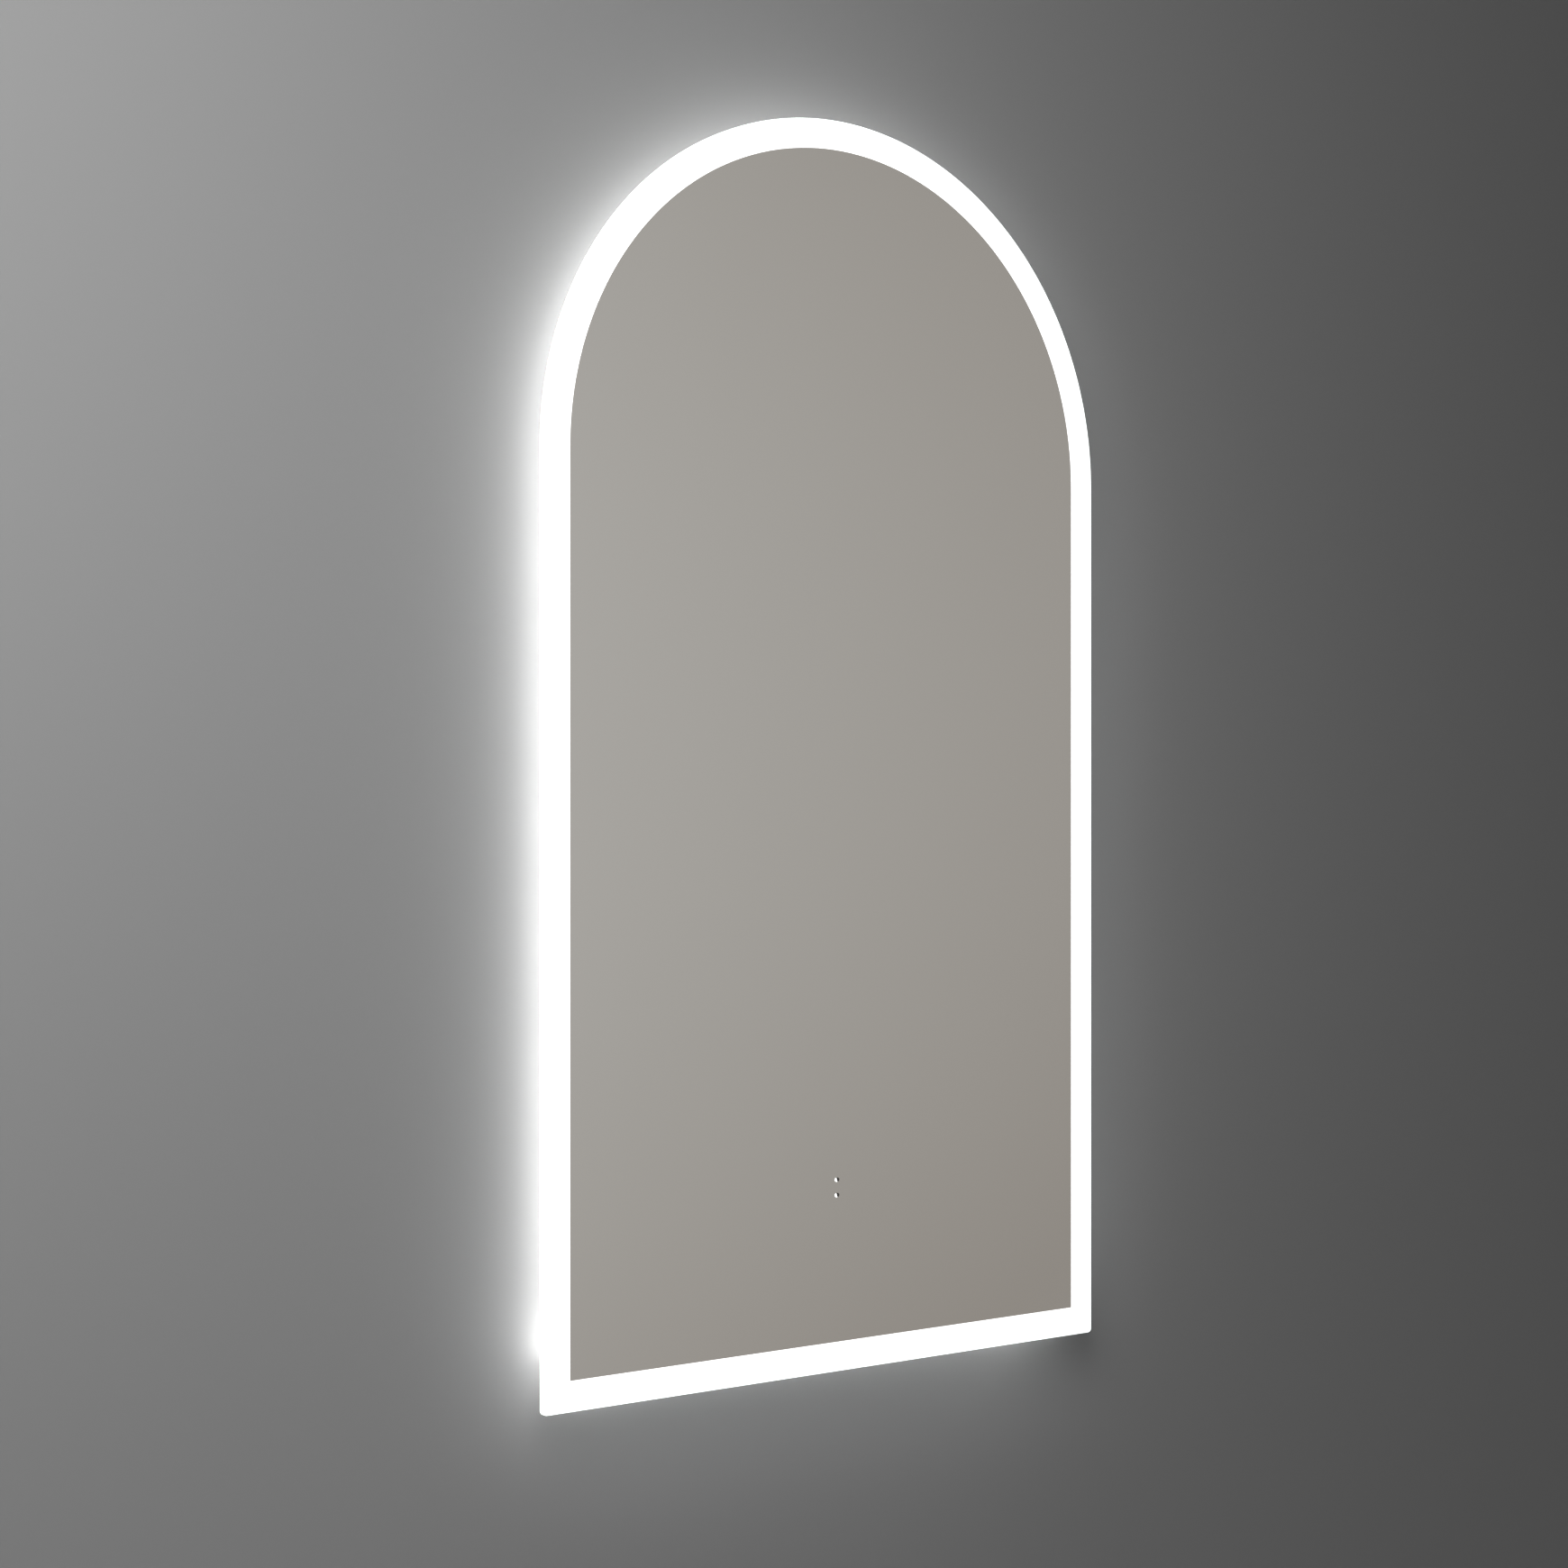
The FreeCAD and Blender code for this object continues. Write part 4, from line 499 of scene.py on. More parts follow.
@dataclass(frozen=True)
class MirrorFace(Finish):
    """Silvered float glass seen from the front."""

    smears: float = 9.0  # smears of haze in a metre
    haze: float = 0.02  # how strong the haze is
    darker: float = 0.8  # what the colour is times under full haze
    plain = {"Metallic": 1.0}

    def pattern(self, graph: Graph) -> dict:
        """Clean silver, with the very faint haze that wiping leaves.

        Args:
            graph: The material's graph.

        Returns:
            Shader input name to value.
        """
        marks = graph.effect(HANDLING, Vector=graph.place(), Scale=self.smears, Amount=self.haze)
        haze = marks.outputs["Dulling"]
        return {
            "Base Color": graph.tint(haze, shade(self.colour, 1.0), shade(self.colour, self.darker)),
            "Roughness": graph.sum("ADD", haze, self.roughness),
        }


@dataclass(frozen=True)
class Lit(Finish):
    """A pale surface with light behind or inside it."""

    glow: float = 1.0  # strength of its own light
    light: Colour = (1.0, 1.0, 1.0)  # colour of that light
    grains: float = 2200.0  # grains in a metre of the frosting or the opal
    depth: float = 0.00002  # depth of the grain
    uneven: float = 0.03  # how far the light falls off in the grain's patches
    darker: float = 0.96  # what the colour is times there
    spread: Pair = (0.3, 0.7)  # the grain's tone where the light has fallen off, and where it is full

    def pattern(self, graph: Graph) -> dict:
        """Frosting grain in relief, and light that is a little uneven with it.

        Args:
            graph: The material's graph.

        Returns:
            Shader input name to value.
        """
        grain = graph.effect(GRAIN, Vector=graph.place(), Scale=self.grains).outputs
        tone = graph.span(grain["Tone"], *self.spread)
        return {
            "Base Color": graph.tint(tone, shade(self.colour, self.darker), shade(self.colour, 1.0)),
            "Emission Color": graph.tint(tone, shade(self.light, 1.0 - self.uneven), shade(self.light, 1.0)),
            "Emission Strength": self.glow,
            "Normal": graph.relief(grain["Height"], self.depth),
        }


@dataclass(frozen=True)
class Diffuser(Lit):
    """Opal acrylic over the light strip, brightest at its edge by the wall and near the lower corners."""

    near: float = -0.0065  # Y where the light is full
    far: float = -0.0175  # Y where it is weakest
    weakest: float = 0.12  # share of the light there
    run: float = 0.57  # share of the light away from the corners
    corner: Pair = (0.22, -0.58)  # X, either way, and Z of the lower corners
    reach: Pair = (0.065, 0.005)  # distance from a corner where its light has faded, and where it is full
    steeper: float = 1.6  # how many times faster it fades up the sides than along the foot

    def pattern(self, graph: Graph) -> dict:
        """The share near the wall times the share near a corner, and the opal keeps its grain.

        Args:
            graph: The material's graph.

        Returns:
            Shader input name to value.
        """
        laid = super().pattern(graph)
        x, y, z = graph.apart(graph.place())
        aside = graph.sum("SUBTRACT", graph.sum("ABSOLUTE", x), self.corner[0])
        rise = graph.times(graph.sum("SUBTRACT", z, self.corner[1]), self.steeper)
        away = graph.sum("SQRT", graph.sum("MULTIPLY_ADD", aside, aside, graph.times(rise, rise)))
        by_corner = graph.span(away, *self.reach, self.run, 1.0, smooth=True)
        by_wall = graph.span(y, self.far, self.near, self.weakest, 1.0, smooth=True)
        share = graph.times(by_corner, by_wall)
        laid["Emission Color"] = graph.tint(share, (0.0, 0.0, 0.0, 1.0), laid["Emission Color"])
        return laid


@dataclass(frozen=True)
class EarthSheath(Finish):
    """Green insulation with a yellow stripe down the side that faces the wall."""

    middle: float = -0.0231  # Y of the lead's centre line
    edge: Pair = (0.00055, 0.00068)  # how far past the centre line the stripe starts, and where it is full
    stripe: Colour = (0.85, 0.62, 0.03)
    grains: float = 1500.0  # grains in a metre
    depth: float = 0.00001  # depth of the grain

    def pattern(self, graph: Graph) -> dict:
        """The stripe lies where the sheath's Y is past the centre line by more than its edge.

        Args:
            graph: The material's graph.

        Returns:
            Shader input name to value.
        """
        y = graph.apart(graph.place())[1]
        mask = graph.span(graph.sum("SUBTRACT", y, self.middle), *self.edge)
        grain = graph.effect(GRAIN, Vector=graph.place(), Scale=self.grains)
        return {
            "Base Color": graph.tint(mask, shade(self.colour, 1.0), shade(self.stripe, 1.0)),
            "Normal": graph.relief(grain.outputs["Height"], self.depth),
        }


@dataclass(frozen=True)
class LedPackage(Finish):
    """White LED packages, each with a yellow phosphor window on its outer face."""

    middle: float = -0.0157  # Y of the strip's middle
    window: Pair = (0.0009, 0.0011)  # distance from it where the window is full, and where it has ended
    phosphor: tuple[Colour, Colour] = ((0.90, 0.62, 0.06), (1.0, 0.85, 0.25))  # the window's two colours
    grains: float = 9000.0  # grains of phosphor in a metre

    def pattern(self, graph: Graph) -> dict:
        """The window is yellow within a band about the strip's middle, with a grainy phosphor.

        Args:
            graph: The material's graph.

        Returns:
            Shader input name to value.
        """
        y = graph.apart(graph.place())[1]
        off = graph.sum("ABSOLUTE", graph.sum("SUBTRACT", y, self.middle))
        mask = graph.span(off, *self.window, 1.0, 0.0)
        grain = graph.effect(GRAIN, Vector=graph.place(), Scale=self.grains)
        tone = graph.tint(grain.outputs["Height"], *(shade(colour, 1.0) for colour in self.phosphor))
        return {"Base Color": graph.tint(mask, shade(self.colour, 1.0), tone)}


MIRROR_FACE = MirrorFace("mirror face", (0.93, 0.935, 0.93), 0.03)
LIT_BORDER = Lit("lit frosted border", (0.9, 0.9, 0.9), 0.55, glow=1.15)
GLASS_EDGE = Lit("lit glass edge", (0.62, 0.78, 0.72), 0.12, glow=1.14, light=(0.97, 1.0, 0.985))
# Painted shade: the border's back is white frosting, but its colour is darkened so that the diffusers' light
# does not blow it out
SHADED_BORDER_BACK = Lit("shaded frosted border from behind", (0.12, 0.124, 0.122), 0.6, glow=0.42, light=(0.96, 1.0, 0.98))
MARK_LIT = Lit("lit touch mark", (1.0, 1.0, 1.0), 0.3, glow=1.3)
# Painted shade: the dark part of a touch mark stands for the shaded wall of its dish
MARK_SHADE = Moulded("shaded touch mark", (0.09, 0.085, 0.08), 0.35, depth=0.00001)
OPAL = Diffuser("lit opal acrylic", (0.93, 0.93, 0.93), 0.35, glow=31.0, grains=900.0, uneven=0.06)
LENS = Lit("lit light guide", (0.95, 0.97, 1.0), 0.15, glow=1.2)
ALUMINIUM = {run: Extruded(f"anodised bar, {run.value}", (0.74, 0.75, 0.76), 0.32, run=run) for run in Run}
ZINC_SHEET = Galvanised("galvanised sheet", (0.67, 0.68, 0.69), 0.38)
ZINC_SCREW = Plated("zinc plated steel", (0.68, 0.68, 0.66), 0.26)
BRASS = Plated("bare brass", (0.72, 0.50, 0.20), 0.30)
TIN = Plated("tinned copper", (0.66, 0.64, 0.60), 0.34)
CAST = Plated("die-cast zinc", (0.40, 0.40, 0.41), 0.5, grains=900.0, depth=0.00005)
WHITE_PLASTIC = Moulded("white moulded plastic", (0.74, 0.74, 0.72), 0.46)
DRIVER_CASE = Moulded("driver case", (0.62, 0.62, 0.60), 0.5)
NYLON = Moulded("natural nylon", (0.70, 0.69, 0.62), 0.36, depth=0.00001)
GREY_NYLON = Moulded("grey nylon", (0.32, 0.33, 0.34), 0.42, depth=0.00002)
BLACK_PLASTIC = Moulded("black moulded plastic", (0.02, 0.02, 0.021), 0.42)
RUBBER = Moulded("black rubber", (0.022, 0.022, 0.022), 0.72, grains=1100.0, marks=0.15)
FOAM = Moulded("foam tape", (0.035, 0.035, 0.036), 0.9, grains=1900.0, depth=0.00015)
SHEATH = Moulded("white sheath", (0.78, 0.78, 0.76), 0.3, depth=0.000008)
BOARD = Moulded("white solder mask", (0.80, 0.80, 0.78), 0.28, grains=2400.0, depth=0.000006)
EARTH = EarthSheath("green and yellow sheath", (0.05, 0.30, 0.03), 0.32)
LED = LedPackage("LED package", (0.88, 0.88, 0.86), 0.3)
BACKING = Film("safety film", (0.42, 0.44, 0.45), 0.34)
HEATER = Film("heater film", (0.66, 0.60, 0.48), 0.28)
HEATER_TRACK = Plated("printed heater track", (0.30, 0.29, 0.28), 0.42)


# ---------- surfaces


@dataclass
class Skin:
    """One patch of a surface."""

    points: np.ndarray  # a grid of rows and columns of points
    finish: Finish  # the finish that its faces wear
    # which cells of the grid have a face. All have one where it is left out
    keep: Optional[np.ndarray] = None

    def quads(self) -> np.ndarray:
        """Takes the grid apart into its cells.

        Returns:
            Each kept cell as four corner points in a ring: shape (cells, 4, 3).
        """
        p = self.points
        corners = np.stack([p[:-1, :-1], p[:-1, 1:], p[1:, 1:], p[1:, :-1]], axis=2)
        return corners[self.keep] if self.keep is not None else corners.reshape(-1, 4, 3)


def build_piece(name: str, skins: Sequence[Skin], body: str, stands_for: Sequence[str] = (),
                crease: float = 30.0) -> bpy.types.Object:
    """Welds patches into one closed piece, faces outward, and rides it on a body.

    Corners that fall on one point become one vertex. A cell with two equal neighbouring corners, as at a
    pole, becomes a triangle, and one with fewer than three corners is left out.

    Args:
        name: The piece's name.
        skins: Its patches, which meet along equal points.
        body: The body that it rides on.
        stands_for: CAD nodes that it replaces.
        crease: Edges that bend by more than this many degrees stay sharp.

    Returns:
        The new object.
    """
    finishes = list(dict.fromkeys(skin.finish for skin in skins))
    patches = [skin.quads() for skin in skins]
    corners = np.concatenate(patches)
    worn = np.repeat([finishes.index(skin.finish) for skin in skins], [len(patch) for patch in patches])
    whole = np.round(corners.reshape(-1, 3) / SAME_POINT).astype(np.int64)
    _, first, number = np.unique(whole, axis=0, return_index=True, return_inverse=True)
    points = corners.reshape(-1, 3)[first]
    faces = number.reshape(-1, 4)
    same = faces == np.roll(faces, -1, axis=1)
    count = same.sum(axis=1)
    full, pinched = faces[count == 0], faces[count == 1]
    thirds = pinched[~same[count == 1]].reshape(-1, 3)
    mesh = bpy.data.meshes.new(name)
    mesh.from_pydata(points.tolist(), [], full.tolist() + thirds.tolist())
    for finish in finishes:
        mesh.materials.append(finish.material())
    indices = np.concatenate([worn[count == 0], worn[count == 1]]).astype(np.int32)
    mesh.polygons.foreach_set("material_index", indices)
    mesh.polygons.foreach_set("use_smooth", np.ones(len(indices), bool))
    work = bmesh.new()
    work.from_mesh(mesh)
    bmesh.ops.recalc_face_normals(work, faces=work.faces[:])
    work.to_mesh(mesh)
    work.free()
    mesh.set_sharp_from_angle(angle=math.radians(crease))
    piece = bpy.data.objects.new(name, mesh)
    bpy.context.scene.collection.objects.link(piece)
    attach(piece, body)
    if stands_for:
        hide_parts(*stands_for)
    LOG.info("%s: %d faces on %s", name, len(indices), body)
    return piece


# ---------- sub-assemblies


@dataclass
class SubAssembly:
    """A group of pieces that belong together."""

    worn: ClassVar[dict[Finish, tuple[str, ...]]]  # each finish, to the CAD nodes that wear it

    def dress(self) -> None:
        """Puts the finishes on their CAD nodes, whose shapes stay as they are."""
        LOG.info("dressing %s", type(self).__name__)
        for finish, nodes in self.worn.items():
            for name in nodes:
                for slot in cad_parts[name].material_slots:
                    slot.material = finish.material()
                LOG.info("%s: %s", name, finish.name)


@dataclass
class MirrorPane(SubAssembly):
    """The glass: a mirror face inside a lit frosted border, with two touch marks near the foot."""

    half_width: float = 0.25  # half of the pane's width
    foot: float = -0.61  # height of the lower edge
    spring: float = 0.04  # height where the half circle starts
    front: float = -0.035  # Y of the face
    back: float = -0.030  # Y of the back
    corner: float = 0.003  # radius of the two lower corners
    border: float = 0.0212  # width of the lit border
    arris: float = 0.0005  # width of the ground edge
    arris_bow: float = 0.3  # share of the arris that its middle lies in from both sides
    marks: Pair = (-0.48315, -0.47205)  # heights of the two touch marks
    mark_half: Pair = (0.0022, 0.0016)  # half width and half height of a touch mark
    mark_room: float = 0.00555  # half side of the square of face round a mark
    mark_depth: float = 0.0003  # how far a mark lies under the face
    mark_taper: float = 0.94  # size of a mark's floor over the size of its rim
    mark_turn: int = 1  # cells by which a mark's lit half is turned
    cells: int = 8  # cells along a side of a mark's square
    out_cells: int = 5  # cells from a mark's square out to the border
    low_cells: int = 3  # cells from the border up to the marks
    side_cells: int = 8  # cells from the marks up to the spring
    arch_cells: int = 64  # cells over half of the arch
    corner_cells: int = 6  # cells round a lower corner
    columns: np.ndarray = field(init=False)
    rows: np.ndarray = field(init=False)
    turns: np.ndarray = field(init=False)
    worn = {
        MIRROR_FACE: ("silver_coating",),
        # the frosted border's back wears painted shade
        SHADED_BORDER_BACK: ("frosted_border",),
        BACKING: ("safety_film",),
        FOAM: ("bonding_tape", "box_tapes"),
    }

    def __post_init__(self) -> None:
        """Sets where the grid lines lie: columns across, rows up the sides, turns over the arch."""
        inner, room = self.half_width - self.border, self.mark_room
        side = np.linspace(room, inner, self.out_cells + 1)[1:]
        self.columns = np.concatenate([-side[::-1], np.linspace(-room, room, self.cells + 1), side])
        low, high = self.marks[0] - room, self.marks[1] + room
        self.rows = np.concatenate([
            np.linspace(self.foot + self.border, low, self.low_cells + 1)[:-1],
            np.linspace(low, high, 2 * self.cells + 1),
            np.linspace(high, self.spring, self.side_cells + 1)[1:],
        ])
        self.turns = np.linspace(0.0, math.pi / 2, self.arch_cells + 1)[1:]

    def loop(self, inset: float) -> np.ndarray:
        """One closed ring about the outline, moved in by an inset.

        The right half runs from the middle of the foot out to the corner (a quarter circle of radius
        corner less inset, or a point), up the side and over the arch (the cosine and sine of each turn
        times the radius). The left half is the right half mirrored and run backwards.

        Args:
            inset: How far the ring lies inside the outline.

        Returns:
            X and Z of its points, the first repeated at the end.
        """
        reach, low = self.half_width - inset, self.foot + inset
        radius = max(self.corner - inset, 0.0)
        bend = np.linspace(-math.pi / 2, 0.0, self.corner_cells + 1)
        across = self.columns[self.columns >= 0.0][:-1]
        right = np.concatenate([
            np.column_stack([across, np.full(len(across), low)]),
            np.column_stack([reach - radius + radius * np.cos(bend), low + radius + radius * np.sin(bend)]),
            np.column_stack([np.full(len(self.rows) - 1, reach), self.rows[1:]]),
            np.column_stack([reach * np.cos(self.turns), self.spring + reach * np.sin(self.turns)]),
        ])
        left = (right * [-1.0, 1.0])[::-1]
        return np.concatenate([right, left])

    def face(self, inset: float, y: float) -> np.ndarray:
        """The flat face inside a ring: each row spans the width at its height, down to a point at the top.

        Args:
            inset: How far the ring lies inside the outline.
            y: Where the face lies.

        Returns:
            A grid of points.
        """
        reach = self.half_width - inset
        heights = np.concatenate([self.rows, self.spring + reach * np.sin(self.turns)])
        widths = np.concatenate([np.full(len(self.rows), reach), reach * np.cos(self.turns)])
        share = self.columns / self.columns[-1]
        grid = np.empty((len(heights), len(share), 3))
        grid[..., 0] = widths[:, None] * share
        grid[..., 1] = y
        grid[..., 2] = heights[:, None]
        return grid

    def mark(self, height: float) -> list[Skin]:
        """One touch mark: an oval dish in a square of the face, lit on its lower left and darkened with
        painted shade on the rest.

        The square's edge points, taken by their angle, are carried on to the oval, then down the dish's
        wall and in to its middle.

        Args:
            height: Z of the mark's middle.

        Returns:
            Its patches.
        """
        side = np.linspace(-1.0, 1.0, self.cells + 1)[:-1]
        one = np.ones(self.cells)
        ring = np.concatenate([
            np.column_stack([one, side]), np.column_stack([-side, one]),
            np.column_stack([-one, -side]), np.column_stack([side, -one]),
        ])
        ring = np.roll(ring, self.cells // 2, axis=0)
        turn = np.arctan2(ring[:, 1], ring[:, 0])
        oval = np.column_stack([np.cos(turn), np.sin(turn)]) * self.mark_half
        floor = self.front + self.mark_depth
        rings = [
            (ring * self.mark_room, self.front), (oval, self.front), (oval * self.mark_taper, floor),
            (oval * 0.0, floor),
        ]
        grid = np.stack([np.insert(p + (0.0, height), 1, y, axis=1) for p, y in rings])
        grid = np.concatenate([grid, grid[:, :1]], axis=1)
        # The lit half glows on the lower left; the rest of the dish wears painted shade
        lit = np.roll(np.arange(len(ring)) >= len(ring) // 2, self.mark_turn)
        return [
            Skin(grid[:2], MIRROR_FACE),
            Skin(grid[1:], MARK_LIT, np.stack([lit, lit])),
            Skin(grid[1:], MARK_SHADE, np.stack([~lit, ~lit])),
        ]

    def build(self) -> bpy.types.Object:
        """Builds the pane: face, a section carried round the outline, marks, and the back.

        Returns:
            The piece.
        """
        face = self.face(self.border, self.front)
        keep = np.ones((face.shape[0] - 1, face.shape[1] - 1), bool)
        column = int(np.argmin(abs(self.columns + self.mark_room)))
        row = int(np.argmin(abs(self.rows - (self.marks[0] - self.mark_room))))
        keep[row:row + 2 * self.cells, column:column + self.cells] = False
        edge, bow = self.arris, self.arris * self.arris_bow
        section = [
            (self.border, self.front), (edge, self.front), (bow, self.front + bow), (0.0, self.front + edge),
            (0.0, self.back - edge), (bow, self.back - bow), (edge, self.back), (self.border, self.back),
        ]
        rings = np.stack([np.insert(self.loop(inset), 1, y, axis=1) for inset, y in section])
        skins = [
            Skin(face, MIRROR_FACE, keep), Skin(rings[:2], LIT_BORDER),
            Skin(rings[1:-1], GLASS_EDGE), Skin(rings[-2:], LIT_BORDER),
        ]
        for height in self.marks:
            skins += self.mark(height)
        skins.append(Skin(self.face(self.border, self.back), BACKING))
        return build_piece("mirror_pane", skins, "mirror", ("mirror_glass",))


@dataclass
class LightFrame(SubAssembly):
    """The aluminium frame behind the pane, with its light strip and diffusers."""

    worn = {
        ALUMINIUM[Run.UPRIGHT]: ("frame_left", "frame_right"),
        ALUMINIUM[Run.LEVEL]: ("frame_bottom",),
        ALUMINIUM[Run.ARCHED]: ("frame_arch",),
        CAST: ("corner_keys", "splice_keys"),
        ZINC_SCREW: ("frame_screws",),
        RUBBER: ("wall_bumpers",),
        BOARD: ("led_strip",),
        LED: ("led_chips_left", "led_chips_right", "led_chips_bottom", "led_chips_arch"),
        OPAL: ("diffuser_left", "diffuser_right", "diffuser_bottom", "diffuser_arch"),
    }


@dataclass
class Hanging(SubAssembly):
    """The rail on the wall and the two bars across the back."""

    worn = {
        ZINC_SHEET: ("wall_rail", "hanging_bar", "lower_bar"),
        ZINC_SCREW: ("bar_screws",),
    }


@dataclass
class DriverBox(SubAssembly):
    """The box that holds the driver and the supply terminals."""

    worn = {
        WHITE_PLASTIC: ("driver_tray", "driver_cover", "terminal_cover", "strip_connector"),
        RUBBER: ("cover_gasket", "gland_seal", "lead_grommets"),
        ZINC_SCREW: ("cover_screws", "hinge_pin"),
        DRIVER_CASE: ("led_driver",),
        NYLON: ("terminal_block", "lead_clips"),
        BRASS: ("terminal_screws", "earth_screw"),
        TIN: ("earth_ring",),
        GREY_NYLON: ("gland_body", "gland_cap", "gland_locknut"),
    }


@dataclass
class Demister(SubAssembly):
    """The heater film on the back of the mirror, with its printed track."""

    side: float = 0.130  # how far the track reaches either way in X
    turn_back: float = 0.118  # X where the runs turn on the right, short of the line that comes back down
    low: float = -0.084  # height of the lowest run
    pitch: float = 0.0104  # height from one run to the next
    runs: int = 22  # number of runs, an even number
    poles: Pair = (0.060, 0.070)  # X of the track's two ends, under the terminal
    foot: float = -0.096  # height of both ends
    bend: float = 0.005  # radius of the bends
    bend_cells: int = 6  # cells round a bend
    width: float = 0.0017  # width of the track
    section: Pair = (-0.02932, -0.02924)  # Y where the track starts, inside the film, and where it ends
    worn = {
        HEATER: ("demister_pad",),
        BLACK_PLASTIC: ("demister_terminal",),
    }

    def stops(self) -> np.ndarray:
        """The corners of the track: up from one end, to and fro up the film, and down the right side.

        Returns:
            X and Z of the corners.
        """
        corners = [(self.poles[0], self.foot), (self.poles[0], self.low), (-self.side, self.low)]
        for run in range(1, self.runs):
            height = self.low + run * self.pitch
            right = self.side if run == self.runs - 1 else self.turn_back
            ends = [(-self.side, height), (right, height)]
            corners += ends if run % 2 else ends[::-1]
        corners += [(self.side, self.low), (self.poles[1], self.low), (self.poles[1], self.foot)]
        return np.array(corners)

    def route(self) -> np.ndarray:
        """The centre line: each corner becomes a quarter circle between its two straight lines.

        The circle's middle lies a radius back along the way in and a radius on along the way out. Each
        point is the middle, plus the sine of the turn along the way in, less its cosine along the way out.

        Returns:
            X and Z of its points.
        """
        stops = self.stops()
        turn = np.linspace(0.0, math.pi / 2, self.bend_cells + 1)[:, None]
        line = [stops[:1]]
        for before, corner, after in zip(stops[:-2], stops[1:-1], stops[2:]):
            come = (corner - before) / np.linalg.norm(corner - before)
            leave = (after - corner) / np.linalg.norm(after - corner)
            middle = corner + (leave - come) * self.bend
            line.append(middle + self.bend * (np.sin(turn) * come - np.cos(turn) * leave))
        return np.concatenate(line + [stops[-1:]])

    def build(self) -> bpy.types.Object:
        """Builds the track: a flat section carried along the centre line, with both ends closed.

        Returns:
            The piece.
        """
        line = self.route()
        along = np.gradient(line, axis=0)
        along /= np.linalg.norm(along, axis=1)[:, None]
        aside = np.column_stack([-along[:, 1], along[:, 0]]) * self.width / 2
        inner, outer = self.section
        ring = [(-1.0, inner), (-1.0, outer), (1.0, outer), (1.0, inner), (-1.0, inner)]
        grid = np.stack([np.insert(line + aside * way, 1, y, axis=1) for way, y in ring], axis=1)
        caps = [grid[end, [0, 1, 3, 2]].reshape(2, 2, 3) for end in (0, -1)]
        return build_piece("heater_track", [Skin(patch, HEATER_TRACK) for patch in (grid, *caps)],
                           "mirror")


@dataclass
class TouchSensor(SubAssembly):
    """The sensor behind the two touch marks."""

    worn = {
        BLACK_PLASTIC: ("sensor_housing",),
        BOARD: ("sensor_board",),
        LENS: ("sensor_lenses",),
    }


@dataclass
class Leads(SubAssembly):
    """The four leads that stay inside the mirror."""

    worn = {
        SHEATH: ("led_lead", "sensor_lead", "demister_lead"),
        EARTH: ("earth_lead",),
    }


# ---------- studio


@dataclass
class Lamp:
    """One soft lamp of the studio."""

    name: str
    place: Place  # where it hangs
    aim: Place  # the point that it faces
    size: float  # side of its square
    power: float  # in watts

    def hang(self) -> None:
        """Hangs the lamp, which no metal and no camera sees."""
        data = bpy.data.lights.new(self.name, "AREA")
        data.shape, data.size, data.energy = "SQUARE", self.size, self.power
        lamp = bpy.data.objects.new(self.name, data)
        lamp.location = self.place
        x, y, z = np.array(self.place) - np.array(self.aim)
        lamp.rotation_euler = (math.atan2(math.hypot(x, y), z), 0.0, math.atan2(x, -y))
        lamp.visible_glossy = False
        lamp.visible_camera = False
        bpy.context.scene.collection.objects.link(lamp)


